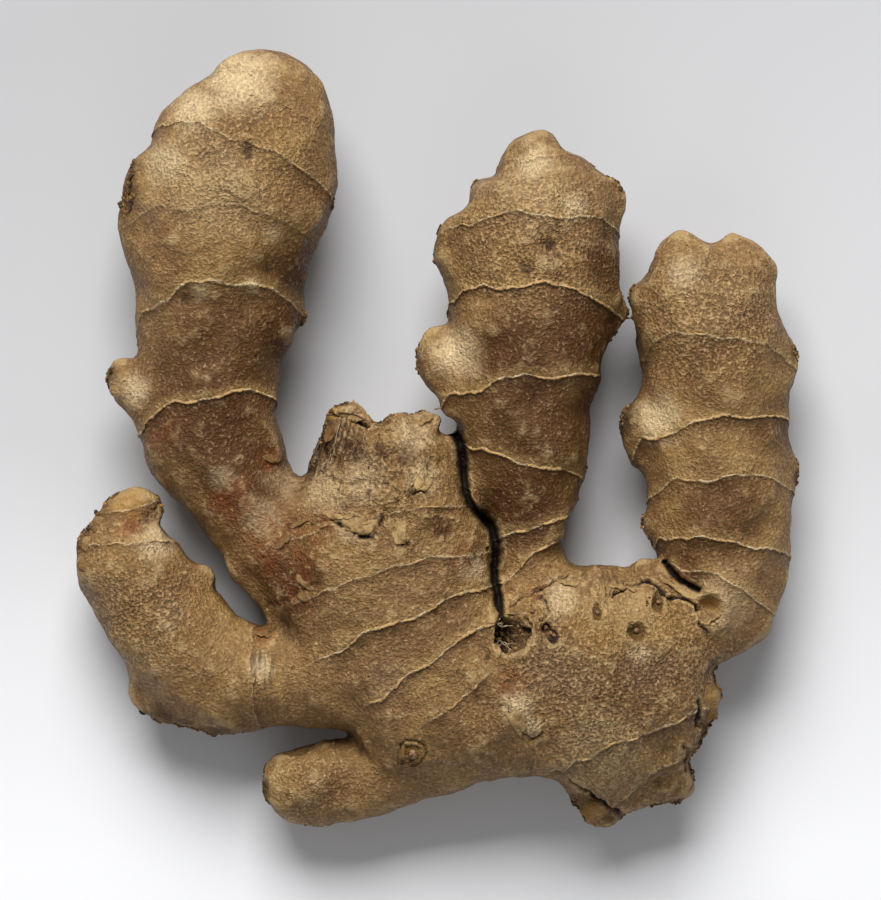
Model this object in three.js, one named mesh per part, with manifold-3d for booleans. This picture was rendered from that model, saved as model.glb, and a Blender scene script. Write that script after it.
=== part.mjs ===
// A hand of fresh ginger: one rhizome that grew as a single solid. Three long fingers rise from an old
// heel and a broken crown, with a bent spur and a short stub on the near side. It lies on the plane Z = 0.
// Millimetres, +Z up, +Y from the heel towards the finger tips, the origin under the middle of its box.

import * as THREE from "three";
import { mergeVertices } from "three/addons/utils/BufferGeometryUtils.js";
import Module from "manifold-3d";

// ---- Driving dimensions ------------------------------------------------------------------------

const SKIN_TRIANGLES = 11600; // faces left on the finished skin
const GRID_STEP = 0.95; // spacing of the lattice on which the skin is first found
const MARGIN = 3; // empty lattice kept round the lobes
const SLIVER_WEIGHT = 2e-4; // keeps faces from growing long and thin where the skin is flat
const BUD_BLEND = 2.4; // how widely a bud swells out of its lobe
const TOUCH_BLEND = 1.2; // rounding where lobes only press against each other
const CAP_SHARE = 0.62; // how far a lobe's end domes past its last station, as a share of its thickness
const KNEE_SHARE = 0.3; // the same for the joints between stations, which only fill the outside of bends
const RING_LIP = 0.5; // height of a full leaf-scar ring over the skin
const LIP_SLOPE = 2.2; // its run-out on the tip side
const LIP_DROP = 0.7; // and its drop on the root side, into a shallow furrow
const FURROW = { depth: 0.35, offset: 1.6, width: 1.2 }; // the furrow, as a share of the lip's height
const RING_FADE = 3.0; // a ring stops this far inside a neighbouring lobe
const RING_RUNOUT = 5.0; // and this far outside its two flank points
// How far rings stray along their lobe, slowly and quickly, and how much their height varies.
const WANDER = { slow: 0.6, quick: 0.16, height: 0.3 };
const RELIEF_DEPTH = 3; // relief is worked out this near the skin
const FAR_OFF = 9; // beyond this distance from a lobe's box the box stands for the lobe
const SWELL = { slow: 0.55, quick: 0.28 }; // heights of the skin's slow and quicker undulations
const STEPS_PER_STATION = 4; // segments of a lobe between two stations

// Each lobe is a swollen stem. Its stations run from the root end to the tip:
// [x, y, z of the core, half width across the plan, half thickness].
const LOBES = {
  leftFinger: [
    [-22.0, -25.5, 13.0, 7.6, 8.4],
    [-31.2, -12.0, 13.2, 8.4, 9.0],
    [-37.1, -2.2, 13.4, 10.5, 10.2],
    [-38.6, 6.3, 13.6, 11.6, 10.9],
    [-37.8, 16.3, 13.8, 12.1, 11.6],
    [-36.8, 24.7, 14.2, 13.6, 12.6],
    [-36.6, 32.2, 14.6, 15.7, 14.2],
    [-34.5, 40.2, 14.8, 17.4, 15.2],
    [-31.2, 48.0, 15.0, 15.6, 14.0],
    [-28.6, 54.8, 15.4, 12.3, 11.2],
    [-27.8, 59.8, 15.8, 7.8, 7.8],
  ],
  crown: [
    [6.5, -43.5, 13.4, 12.0, 11.8],
    [-1.3, -36.0, 13.3, 16.0, 13.7],
    [-7.2, -27.0, 14.4, 17.5, 13.6],
    [-8.2, -17.8, 15.0, 17.2, 13.4],
    [-8.2, -9.5, 15.4, 14.2, 12.2],
    [-7.8, -5.0, 15.6, 12.0, 10.8],
    [-7.2, -3.6, 15.6, 10.6, 9.4],
  ],
  heel: [
    [-6.3, -43.7, 13.6, 12.4, 11.6],
    [5.3, -43.6, 14.0, 13.4, 12.2],
    [17.0, -40.6, 14.6, 16.0, 12.6],
    [27.0, -41.2, 14.4, 18.6, 12.4],
    [34.0, -41.2, 13.8, 17.4, 11.6],
    [38.8, -41.8, 13.2, 12.8, 10.0],
  ],
  middleFinger: [
    [16.4, -29.0, 13.2, 6.6, 7.6],
    [15.3, -20.3, 13.0, 5.9, 7.2],
    [15.7, -13.7, 13.2, 7.2, 8.0],
    [15.3, -7.0, 13.8, 9.2, 9.4],
    [14.6, -0.3, 14.6, 10.8, 10.6],
    [13.4, 6.3, 15.2, 11.5, 11.4],
    [14.6, 13.0, 15.6, 13.5, 12.2],
    [15.8, 19.7, 15.8, 14.2, 12.6],
    [15.5, 26.3, 16.0, 14.4, 12.6],
    [15.6, 32.6, 16.0, 14.8, 12.4],
    [17.6, 38.6, 15.8, 12.4, 11.2],
    [17.5, 43.6, 15.6, 8.4, 9.0],
    [15.9, 48.0, 15.4, 5.0, 5.6],
  ],
  rightFinger: [
    [37.0, -35.0, 12.4, 6.8, 8.6],
    [45.6, -28.8, 12.0, 9.1, 9.4],
    [48.0, -20.3, 11.8, 10.3, 10.2],
    [47.3, -13.7, 11.8, 11.9, 11.2],
    [47.0, -7.0, 11.7, 12.1, 11.9],
    [46.5, -0.3, 11.6, 12.0, 12.1],
    [46.2, 6.3, 11.8, 12.2, 12.0],
    [46.2, 13.0, 12.2, 12.3, 11.8],
    [44.8, 19.7, 12.8, 12.1, 11.2],
    [44.6, 24.6, 13.2, 11.6, 10.2],
    [45.2, 27.2, 13.4, 9.8, 8.2],
  ],
  spur: [
    [-15.0, -38.5, 13.4, 10.2, 10.4],
    [-27.7, -40.0, 12.6, 8.5, 9.0],
    [-35.6, -39.4, 12.2, 9.9, 9.8],
    [-42.8, -34.8, 12.2, 10.0, 9.9],
    [-47.9, -27.2, 12.4, 9.3, 9.4],
    [-52.1, -20.4, 12.8, 8.4, 8.6],
    [-53.2, -15.9, 13.2, 6.3, 7.0],
    [-51.1, -11.8, 13.6, 3.9, 4.2],
  ],
  stub: [
    [0.0, -50.6, 12.4, 9.2, 8.6],
    [-11.3, -56.2, 11.0, 6.8, 6.8],
    [-19.7, -57.7, 10.4, 7.0, 7.0],
    [-25.4, -57.7, 10.4, 6.0, 6.4],
  ],
};

// Lobes that grow out of each other, and how widely their skins run together.
const UNIONS = [
  { lobes: ["crown", "heel"], blend: 6.0 },
  { lobes: ["crown", "leftFinger"], blend: 6.0 },
  { lobes: ["crown", "spur"], blend: 5.0 },
  { lobes: ["crown", "stub"], blend: 3.0 },
  { lobes: ["heel", "middleFinger"], blend: 3.6 },
  { lobes: ["heel", "rightFinger"], blend: 3.4 },
];

// Buds, knuckles and broken-off shoots, each on its lobe:
// [x, y, z, radius at the root, x, y, z, radius at the tip].
const BUDS = {
  leftFinger: [
    [-45.0, 7.0, 14.0, 6.6, -52.0, 9.0, 14.4, 3.7],
    [-46.0, 38.6, 15.0, 6.0, -47.8, 39.4, 15.0, 5.6],
    [-26.0, 21.6, 13.0, 3.4, -24.2, 20.8, 13.0, 2.0],
    [-23.0, 55.0, 15.0, 4.6, -22.0, 55.2, 15.0, 3.6],
  ],
  crown: [
    [-14.5, -6.0, 17.0, 5.2, -15.8, 3.8, 19.0, 2.0],
    [-4.4, -4.0, 16.0, 5.0, -3.6, 1.2, 16.4, 3.0],
    [-1.0, -8.0, 16.0, 5.0, 1.7, -3.3, 16.0, 3.1],
    [5.0, -18.6, 16.0, 4.6, 7.6, -19.0, 16.4, 2.2],
  ],
  heel: [
    [34.0, -28.2, 15.4, 5.4, 35.2, -23.9, 15.4, 3.0],
    [28.4, -52.0, 12.6, 9.2, 26.6, -60.0, 11.6, 4.2],
    [32.0, -54.0, 12.2, 6.6, 31.6, -58.4, 11.4, 3.6],
    [36.0, -52.0, 12.4, 7.4, 37.4, -56.0, 11.6, 4.8],
    [41.0, -42.0, 13.4, 5.4, 42.0, -42.4, 13.4, 3.7],
    [19.5, -27.6, 15.6, 5.4, 26.6, -26.0, 15.4, 4.8],
  ],
  middleFinger: [
    [6.6, 11.0, 15.6, 7.0, 1.6, 12.6, 15.6, 5.3],
    [26.0, 37.0, 15.6, 5.0, 28.6, 39.6, 15.6, 2.7],
    [7.0, 32.0, 15.6, 5.8, 5.6, 32.4, 15.4, 4.9],
    [9.6, 38.8, 15.4, 3.0, 6.9, 41.4, 15.0, 1.2],
    [27.0, 19.8, 14.6, 3.4, 29.4, 20.2, 15.4, 1.7],
  ],
  rightFinger: [
    [41.0, 26.6, 13.6, 4.6, 40.2, 31.0, 13.8, 3.1],
    [49.6, 25.2, 13.6, 4.8, 49.6, 30.2, 13.6, 3.3],
    [50.0, 25.2, 13.6, 5.4, 52.0, 28.4, 13.6, 4.0],
    [37.0, 24.0, 13.0, 3.0, 34.3, 24.4, 12.6, 1.4],
    [39.0, 1.6, 12.4, 7.0, 35.0, 2.0, 12.6, 4.8],
    [54.6, 13.8, 12.4, 5.0, 56.6, 13.8, 12.4, 3.0],
    [54.6, -6.4, 11.8, 5.0, 56.6, -6.4, 11.8, 3.4],
    [38.4, -14.6, 12.4, 4.0, 36.0, -14.2, 13.0, 2.0],
  ],
  spur: [
    [-43.0, -40.4, 11.2, 5.6, -46.4, -42.8, 11.0, 3.8],
    [-42.0, -27.0, 13.0, 3.4, -40.2, -24.2, 13.4, 1.4],
    [-36.5, -43.5, 11.4, 4.4, -37.2, -46.2, 11.2, 3.2],
  ],
  stub: [[-23.6, -58.6, 10.2, 5.0, -24.4, -59.2, 10.2, 4.4]],
};

// Leaf-scar rings. Each is a plane through a lobe, given by where it meets the left and right flanks when
// one looks from root to tip, how far it bows towards the tip on top, and its share of RING_LIP:
// [left x, left y, right x, right y, bow, share].
const RINGS = {
  leftFinger: [
    [-40.0, 58.0, -18.0, 49.7, 2.0, 0.4],
    [-47.7, 50.2, -18.3, 38.3, 5.0, 0.8],
    [-50.5, 33.8, -21.7, 31.3, 5.0, 0.6],
    [-50.3, 17.0, -24.7, 19.7, 6.3, 0.9],
    [-48.8, 0.5, -27.2, 4.7, 4.0, 1.0],
    [-37.2, -17.8, -24.7, -10.3, 1.0, 0.35],
  ],
  crown: [
    [-1.3, -47.8, 10.8, -37.3, 0.5, 0.9],
    [-9.7, -43.7, 10.3, -30.7, 1.0, 1.0],
    [-18.0, -37.0, 9.8, -24.5, 1.5, 1.0],
    [-23.0, -28.7, 9.3, -19.5, 2.5, 0.7],
    [-24.7, -17.8, 7.0, -12.0, 2.0, 0.6],
    [-23.0, -7.0, 4.5, -2.8, 3.0, 0.4],
  ],
  heel: [
    [20.3, -56.2, 43.7, -45.7, 1.5, 0.8],
    [28.7, -62.0, 42.5, -51.2, 1.0, 0.6],
  ],
  middleFinger: [
    [9.8, 44.7, 24.5, 45.2, 1.8, 0.6],
    [3.3, 33.0, 30.7, 33.8, 3.5, 1.0],
    [2.0, 21.3, 29.0, 19.7, 4.4, 1.0],
    [1.5, 5.5, 25.3, 8.8, 2.4, 1.0],
    [4.2, -1.7, 23.7, -6.7, 0.4, 1.0],
    [10.3, -17.0, 22.3, -13.3, 0.5, 0.9],
    [10.8, -23.7, 21.3, -16.7, 0.5, 0.9],
  ],
  rightFinger: [
    [35.0, 27.2, 55.7, 27.2, 2.0, 0.3],
    [34.0, 12.2, 59.2, 10.0, 5.6, 0.8],
    [34.5, -2.3, 58.3, 2.2, 3.2, 1.0],
    [34.8, -10.7, 59.8, -10.3, 3.9, 1.0],
    [35.8, -17.8, 58.7, -20.3, 1.9, 1.0],
    [38.7, -22.0, 56.2, -29.5, 1.7, 0.8],
  ],
  spur: [
    [-53.3, -11.2, -46.8, -11.2, -0.8, 0.8],
    [-59.7, -18.7, -43.3, -17.8, 1.0, 0.7],
    [-56.3, -31.2, -37.7, -23.7, 1.5, 0.5],
    [-41.3, -48.3, -33.8, -28.3, 1.0, 0.5],
    [-29.3, -48.7, -30.5, -30.7, 1.0, 0.6],
  ],
  stub: [[-18.0, -65.0, -17.2, -50.7, 0.8, 0.5]],
};

// Round scars of roots and shoots: [x, y, z, radius, depth of the pit]. A negative depth is a raised knob.
const SCARS = [
  [-4.5, -52.0, 20.4, 2.9, 1.2],
  [44.8, -28.4, 20.4, 2.6, 2.2],
  [12.6, -32.6, 25.0, 3.2, 3.0],
  [17.8, -31.6, 26.2, 2.0, 1.6],
  [26.2, -28.4, 25.8, 1.5, 1.4],
  [32.7, -31.8, 25.6, 1.7, 1.6],
  [36.8, -27.0, 22.6, 1.5, 1.4],
  [18.7, 31.6, 28.2, 3.0, 1.0],
  [17.8, 28.6, 28.6, 2.6, -0.5],
  [-53.6, 42.0, 15.4, 4.6, 0.9],
  [-32.7, -3.4, 22.6, 1.6, -0.6],
];

// The crown ends in a torn stump: its fibres stand in ribs that fade out down the stem.
const STUMP = { x: -6.5, y: 6.0, ribs: 26, height: 0.8, reach: 13.0 };

// The old ends of the heel and the spur are cracked and knobbly: [x, y, z, radius, height of the knobs].
const CRUSTS = [
  [45.4, -44.0, 12.0, 9.0, 0.6],
  [27.0, -61.5, 11.0, 8.0, 0.6],
  [38.0, -57.5, 11.0, 7.0, 0.5],
  [-41.0, -47.5, 10.0, 10.0, 0.55],
  [-29.0, -58.5, 10.0, 6.0, 0.4],
  [-53.0, -12.5, 13.0, 5.5, 0.4],
];

// ---- Lobes as distances ------------------------------------------------------------------------

// Samples a lobe's spine and half sizes on smooth curves through its stations.
function sampleLobe(stations) {
  const spine = new THREE.CatmullRomCurve3(stations.map(([x, y, z]) => new THREE.Vector3(x, y, z)));
  const sizes = new THREE.CatmullRomCurve3(stations.map(([, , , w, h]) => new THREE.Vector3(w, h, 0)));
  const count = (stations.length - 1) * STEPS_PER_STATION;
  const rows = [];
  for (let i = 0; i <= count; i++) {
    const at = spine.getPoint(i / count);
    const size = sizes.getPoint(i / count);
    rows.push({ x: at.x, y: at.y, z: at.z, w: size.x, h: size.y });
  }
  return rows;
}

// The two ends of a bud as a lobe of two rows with a round section.
function sampleBud([x0, y0, z0, r0, x1, y1, z1, r1]) {
  return [
    { x: x0, y: y0, z: z0, w: r0, h: r0 },
    { x: x1, y: y1, z: z1, w: r1, h: r1 },
  ];
}

// Joins the rows into segments, each with its axis, its level side direction and its upward one.
function segmentsOf(rows, tipShare) {
  const last = rows.length - 2;
  return rows.slice(1).map((end, i) => {
    const start = rows[i];
    const axis = new THREE.Vector3(end.x - start.x, end.y - start.y, end.z - start.z);
    const length = axis.length();
    axis.normalize();
    const side = new THREE.Vector3(axis.y, -axis.x, 0).normalize();
    const rise = new THREE.Vector3().crossVectors(side, axis);
    const startCap = i === 0 ? tipShare : KNEE_SHARE;
    const endCap = i === last ? tipShare : KNEE_SHARE;
    return { start, end, axis, side, rise, length, startCap, endCap };
  });
}

// Distance from a point to a stem of elliptical section, taken over all its segments.
function distanceToStem(segments, x, y, z) {
  let least = Infinity;
  for (const { start, end, axis, side, rise, length, startCap, endCap } of segments) {
    const dx = x - start.x;
    const dy = y - start.y;
    const dz = z - start.z;
    const along = dx * axis.x + dy * axis.y + dz * axis.z;
    const held = Math.min(Math.max(along, 0), length);
    const share = held / length;
    const w = start.w + (end.w - start.w) * share;
    const h = start.h + (end.h - start.h) * share;
    const cap = (along < 0 ? startCap : endCap) * Math.min(w, h);
    const a = dx * side.x + dy * side.y;
    const b = dx * rise.x + dy * rise.y + dz * rise.z;
    const c = along - held;
    const ratio = Math.hypot(a / w, b / h, c / cap);
    const slope = Math.hypot(a / (w * w), b / (h * h), c / (cap * cap));
    const distance = slope > 1e-9 ? (ratio * (ratio - 1)) / slope : -Math.min(w, h);
    if (distance < least) least = distance;
  }
  return least;
}

// The lower of two distances, with the corner between them filled over the given width.
function blend(a, b, width) {
  const gap = Math.max(width - Math.abs(a - b), 0) / width;
  return Math.min(a, b) - (gap * gap * width) / 4;
}

const stems = {};
for (const [name, stations] of Object.entries(LOBES)) {
  const rows = sampleLobe(stations);
  const box = new THREE.Box3();
  for (const r of rows) {
    const reach = Math.max(r.w, r.h);
    box.expandByPoint(new THREE.Vector3(r.x - reach, r.y - reach, r.z - reach));
    box.expandByPoint(new THREE.Vector3(r.x + reach, r.y + reach, r.z + reach));
  }
  const buds = BUDS[name].map((bud) => segmentsOf(sampleBud(bud), 1));
  stems[name] = { rows, segments: segmentsOf(rows, CAP_SHARE), buds, box };
}

// ---- Relief ------------------------------------------------------------------------------------

// A ring's plane: through both flanks at the height of the core, and through the bowed point on top.
function ringPlane(rows, [lx, ly, rx, ry, bow, share]) {
  const middle = new THREE.Vector3((lx + rx) / 2, (ly + ry) / 2, 0);
  const nearest = rows.reduce((best, r) =>
    Math.hypot(r.x - middle.x, r.y - middle.y) < Math.hypot(best.x - middle.x, best.y - middle.y) ? r : best);
  middle.z = nearest.z;
  const normal = new THREE.Vector3(ly - ry, rx - lx, 0).normalize();
  const across = new THREE.Vector3(normal.y, -normal.x, 0);
  normal.z = -bow / nearest.h;
  return { normal: normal.normalize(), middle, across, halfSpan: Math.hypot(rx - lx, ry - ly) / 2, share };
}

const planes = {};
for (const [name, rings] of Object.entries(RINGS)) {
  planes[name] = rings.map((ring) => ringPlane(stems[name].rows, ring));
}

// Height of a ring over the skin, at a signed distance past it towards the tip.
function lip(past) {
  if (past > 0) return Math.exp(-past / LIP_SLOPE);
  const furrow = FURROW.depth * Math.exp(-(((past + FURROW.offset) / FURROW.width) ** 2));
  return Math.exp(-((past / LIP_DROP) ** 2)) - furrow * Math.min(-past / LIP_DROP, 1);
}

// How far the rings stray out of their planes here, towards the tip.
function wander(x, y, z) {
  const slow = Math.sin(x * 0.42 + z * 0.31 + 0.7) * Math.cos(y * 0.23 - z * 0.2);
  return WANDER.slow * slow + WANDER.quick * Math.sin(x * 1.15 - y * 0.6 + z * 0.9);
}

// All the rings of one lobe, each fading out where it has passed the lobe's flanks.
function ringRelief(name, x, y, z) {
  const stray = wander(x, y, z);
  let height = 0;
  for (const { normal, middle, across, halfSpan, share } of planes[name]) {
    const dx = x - middle.x;
    const dy = y - middle.y;
    const past = normal.x * dx + normal.y * dy + normal.z * (z - middle.z) + stray;
    if (past < -5 || past > 9) continue;
    const beyond = Math.abs(across.x * dx + across.y * dy) - halfSpan;
    height += share * lip(past) * Math.min(Math.max(1 - beyond / RING_RUNOUT, 0), 1);
  }
  return height * RING_LIP * (1 + WANDER.height * Math.sin(x * 0.55 + y * 0.37 + z * 0.4));
}

// Slow swells and hollows of the whole skin, about 15 and 8 mm from crest to crest.
function swell(x, y, z) {
  const winding = x * 0.41 + 1.3 * Math.sin(y * 0.17);
  const slow = Math.sin(winding) * Math.sin(y * 0.37 + z * 0.21) * Math.cos(z * 0.33 + x * 0.11);
  const quick = Math.sin(x * 0.83 + 2.1) * Math.sin(y * 0.71 + 0.6) * Math.sin(z * 0.77 + 1.1);
  return SWELL.slow * slow + SWELL.quick * quick;
}

// Each scar is a flat-bottomed pit with a raised rim, or a knob with a furrow round it.
function scarRelief(x, y, z) {
  let depth = 0;
  for (const [sx, sy, sz, radius, pit] of SCARS) {
    const away = Math.hypot(x - sx, y - sy, z - sz) / radius;
    if (away > 2.4) continue;
    const floor = Math.exp(-((away / 0.75) ** 4));
    const rim = 0.4 * Math.exp(-(((away - 1.25) / 0.35) ** 2));
    depth += pit * (floor - rim);
  }
  return depth;
}

// Ribs round the torn stump, spread like a fan from a point down the stem.
function stumpRelief(x, y, z) {
  const fade = Math.min(Math.max(1 - (STUMP.y - y) / STUMP.reach, 0), 1);
  if (fade === 0) return 0;
  const turn = STUMP.ribs * Math.atan2(x - STUMP.x, y - STUMP.y + 2 * STUMP.reach);
  const ribs = Math.cos(turn + 1.4 * Math.sin(z * 0.5)) + 0.5 * Math.cos(turn * 0.4 + 2.0);
  return STUMP.height * fade * ribs;
}

// Knobs of the cracked old ends, fading out over each crust's radius.
function crustRelief(x, y, z) {
  let height = 0;
  for (const [cx, cy, cz, radius, knob] of CRUSTS) {
    const fade = 1 - Math.hypot(x - cx, y - cy, z - cz) / radius;
    if (fade <= 0) continue;
    const knobs = Math.sin(x * 1.5 + 1.1) * Math.sin(y * 1.4 + z * 0.8) + 0.6 * Math.sin(z * 1.6 - x * 0.7);
    height += knob * Math.min(fade * 2, 1) * knobs;
  }
  return height;
}

// ---- The whole skin as one distance ------------------------------------------------------------

// Below zero inside the rhizome, above it outside, and close to a true distance near the skin.
function field(x, y, z) {
  const point = new THREE.Vector3(x, y, z);
  const distances = {};
  let least = Infinity;
  for (const [name, stem] of Object.entries(stems)) {
    let distance = stem.box.distanceToPoint(point);
    if (distance <= FAR_OFF) {
      distance = distanceToStem(stem.segments, x, y, z);
      for (const bud of stem.buds) distance = blend(distance, distanceToStem(bud, x, y, z), BUD_BLEND);
    }
    distances[name] = distance;
    least = Math.min(least, distance);
  }
  let skin = Infinity;
  for (const { lobes, blend: width } of UNIONS) {
    const joined = lobes.map((name) => distances[name]).reduce((a, b) => blend(a, b, width));
    skin = skin === Infinity ? joined : blend(skin, joined, TOUCH_BLEND);
  }
  if (Math.abs(skin) > RELIEF_DEPTH) return skin;
  let relief = swell(x, y, z) + crustRelief(x, y, z) - scarRelief(x, y, z);
  for (const name of Object.keys(stems)) {
    const nearness = 1 - (distances[name] - least) / RING_FADE;
    if (nearness <= 0) continue;
    relief += nearness * ringRelief(name, x, y, z);
    if (name === "crown") relief += nearness * stumpRelief(x, y, z);
  }
  return skin - relief;
}

// ---- From distance to triangles ----------------------------------------------------------------

// The corners of a lattice cube, whose bits are their x, y and z steps, and its six tetrahedra.
const CORNERS = [0, 1, 2, 3, 4, 5, 6, 7];
const TETRAHEDRA = [[0, 1, 3, 7], [0, 3, 2, 7], [0, 2, 6, 7], [0, 6, 4, 7], [0, 4, 5, 7], [0, 5, 1, 7]];

// Finds the skin on a lattice over the given box: points and triangles of one closed surface.
function findSkin(box, step) {
  const size = box.getSize(new THREE.Vector3()).divideScalar(step).ceil().addScalar(1);
  const [nx, ny, nz] = size.toArray();
  const values = new Float64Array(nx * ny * nz);
  const cornerOffset = (bits) => (bits & 1) + ((bits >> 1) & 1) * nx + (bits >> 2) * nx * ny;
  const place = (node) => [
    box.min.x + (node % nx) * step,
    box.min.y + (Math.floor(node / nx) % ny) * step,
    box.min.z + Math.floor(node / (nx * ny)) * step,
  ];
  for (let node = 0; node < values.length; node++) values[node] = field(...place(node)) || 1e-6;

  const points = [];
  const faces = [];
  const known = new Map();
  // The point where the skin crosses a lattice edge, made once and shared by every face that needs it.
  const crossing = (a, b) => {
    const [low, high] = a < b ? [a, b] : [b, a];
    const key = low * values.length + high;
    if (!known.has(key)) {
      const share = values[low] / (values[low] - values[high]);
      const from = place(low);
      const to = place(high);
      known.set(key, points.length);
      points.push(from.map((v, i) => v + (to[i] - v) * Math.min(Math.max(share, 0.02), 0.98)));
    }
    return known.get(key);
  };
  // Adds a face turned so that it looks away from the inside point.
  const addFace = (a, b, c, inside) => {
    const [pa, pb, pc] = [a, b, c].map((i) => new THREE.Vector3(...points[i]));
    const normal = pb.clone().sub(pa).cross(pc.clone().sub(pa));
    faces.push(normal.dot(pa.sub(new THREE.Vector3(...inside))) > 0 ? [a, b, c] : [a, c, b]);
  };
  for (let iz = 0; iz < nz - 1; iz++)
    for (let iy = 0; iy < ny - 1; iy++)
      for (let ix = 0; ix < nx - 1; ix++) {
        const base = ix + iy * nx + iz * nx * ny;
        const inside = CORNERS.filter((bits) => values[base + cornerOffset(bits)] < 0).length;
        if (inside === 0 || inside === CORNERS.length) continue;
        for (const corners of TETRAHEDRA) {
          const nodes = corners.map((bits) => base + cornerOffset(bits));
          const inner = nodes.filter((n) => values[n] < 0);
          const outer = nodes.filter((n) => values[n] >= 0);
          if (inner.length === 1) {
            addFace(...outer.map((o) => crossing(inner[0], o)), place(inner[0]));
          } else if (inner.length === 3) {
            addFace(...inner.map((n) => crossing(n, outer[0])), place(inner[0]));
          } else if (inner.length === 2) {
            const [p, q] = [crossing(inner[0], outer[0]), crossing(inner[0], outer[1])];
            const [r, s] = [crossing(inner[1], outer[1]), crossing(inner[1], outer[0])];
            addFace(p, q, r, place(inner[0]));
            addFace(p, r, s, place(inner[0]));
          }
        }
      }
  return { points, faces };
}

// A list kept with its cheapest entry first.
class CheapestFirst {
  constructor() {
    this.entries = [];
  }
  push(entry) {
    const list = this.entries;
    let at = list.push(entry) - 1;
    while (at > 0) {
      const parent = (at - 1) >> 1;
      if (list[parent].cost <= entry.cost) break;
      list[at] = list[parent];
      at = parent;
    }
    list[at] = entry;
  }
  pop() {
    const list = this.entries;
    const first = list[0];
    const last = list.pop();
    if (list.length === 0) return first;
    let at = 0;
    for (;;) {
      let child = 2 * at + 1;
      if (child >= list.length) break;
      if (child + 1 < list.length && list[child + 1].cost < list[child].cost) child++;
      if (list[child].cost >= last.cost) break;
      list[at] = list[child];
      at = child;
    }
    list[at] = last;
    return first;
  }
}

// Thins a closed surface to the wanted number of faces by collapsing the edge that moves the skin least.
// Each point carries the squared distance to its old face planes, as the ten numbers of a quadric.
function thin({ points, faces }, wanted) {
  const quadrics = points.map(() => new Float64Array(10));
  const around = points.map(() => new Set());
  const stamps = new Uint32Array(points.length);
  const normalOf = ([a, b, c]) => {
    const [ux, uy, uz] = [b[0] - a[0], b[1] - a[1], b[2] - a[2]];
    const [vx, vy, vz] = [c[0] - a[0], c[1] - a[1], c[2] - a[2]];
    return [uy * vz - uz * vy, uz * vx - ux * vz, ux * vy - uy * vx];
  };
  faces.forEach((face, index) => {
    const [a, b, c] = face.map((i) => points[i]);
    const normal = normalOf([a, b, c]);
    const twiceArea = Math.hypot(...normal) || 1e-12;
    const [nx, ny, nz] = normal.map((v) => v / twiceArea);
    const d = -(nx * a[0] + ny * a[1] + nz * a[2]);
    const terms = [nx * nx, nx * ny, nx * nz, nx * d, ny * ny, ny * nz, ny * d, nz * nz, nz * d, d * d];
    for (const i of face) {
      terms.forEach((term, k) => (quadrics[i][k] += (term * twiceArea) / 2));
      around[i].add(index);
    }
  });
  const error = (q, [x, y, z]) =>
    q[0] * x * x + 2 * q[1] * x * y + 2 * q[2] * x * z + 2 * q[3] * x + q[4] * y * y +
    2 * q[5] * y * z + 2 * q[6] * y + q[7] * z * z + 2 * q[8] * z + q[9];
  const neighbours = (i) => {
    const found = new Set();
    for (const f of around[i]) for (const j of faces[f]) if (j !== i) found.add(j);
    return found;
  };
  // The point with the least error for an edge, or the best of its ends and middle if the edge is too flat.
  const bestPoint = (q, a, b) => {
    const matrix = new THREE.Matrix3().set(q[0], q[1], q[2], q[1], q[4], q[5], q[2], q[5], q[7]);
    const middle = a.map((v, k) => (v + b[k]) / 2);
    const reach = Math.hypot(a[0] - b[0], a[1] - b[1], a[2] - b[2]);
    if (Math.abs(matrix.determinant()) > 1e-4) {
      const solved = new THREE.Vector3(-q[3], -q[6], -q[8]).applyMatrix3(matrix.invert()).toArray();
      if (Math.hypot(...solved.map((v, k) => v - middle[k])) < reach) return solved;
    }
    return [a, b, middle].reduce((best, p) => (error(q, p) < error(q, best) ? p : best));
  };
  const queue = new CheapestFirst();
  const offer = (a, b) => {
    const q = quadrics[a].map((v, k) => v + quadrics[b][k]);
    const target = bestPoint(q, points[a], points[b]);
    const length = Math.hypot(...points[a].map((v, k) => v - points[b][k]));
    const cost = error(q, target) + SLIVER_WEIGHT * length ** 2;
    queue.push({ a, b, target, cost, stamp: stamps[a] + stamps[b] });
  };
  const turnsOver = (index, moved, other, target) => {
    const corners = faces[index];
    if (corners.includes(other)) return false;
    const before = normalOf(corners.map((i) => points[i]));
    const after = normalOf(corners.map((i) => (i === moved ? target : points[i])));
    const dot = before[0] * after[0] + before[1] * after[1] + before[2] * after[2];
    return dot < 0.25 * Math.hypot(...before) * Math.hypot(...after);
  };
  for (let a = 0; a < points.length; a++) for (const b of neighbours(a)) if (a < b) offer(a, b);

  let left = faces.length;
  while (left > wanted && queue.entries.length) {
    const { a, b, target, stamp } = queue.pop();
    if (around[a].size === 0 || around[b].size === 0 || stamp !== stamps[a] + stamps[b]) continue;
    const nearA = neighbours(a);
    if (!nearA.has(b)) continue;
    const shared = [...neighbours(b)].filter((i) => nearA.has(i));
    if (shared.length !== 2) continue;
    const spoiled = [...around[a]].some((f) => turnsOver(f, a, b, target)) ||
      [...around[b]].some((f) => turnsOver(f, b, a, target));
    if (spoiled) continue;
    points[a] = target;
    quadrics[b].forEach((v, k) => (quadrics[a][k] += v));
    for (const f of around[b]) {
      if (faces[f].includes(a)) {
        for (const i of faces[f]) if (i !== b) around[i].delete(f);
        faces[f] = null;
        left--;
      } else {
        faces[f] = faces[f].map((i) => (i === b ? a : i));
        around[a].add(f);
      }
    }
    around[b].clear();
    stamps[a] += 1;
    stamps[b] += 1;
    for (const i of neighbours(a)) offer(a, i);
  }
  return { points, faces: faces.filter(Boolean) };
}

function geometryOf({ points, faces }) {
  const geometry = new THREE.BufferGeometry();
  geometry.setAttribute("position", new THREE.BufferAttribute(new Float32Array(points.flat()), 3));
  return geometry.setIndex(faces.flat());
}

// ---- Solids ------------------------------------------------------------------------------------

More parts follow.
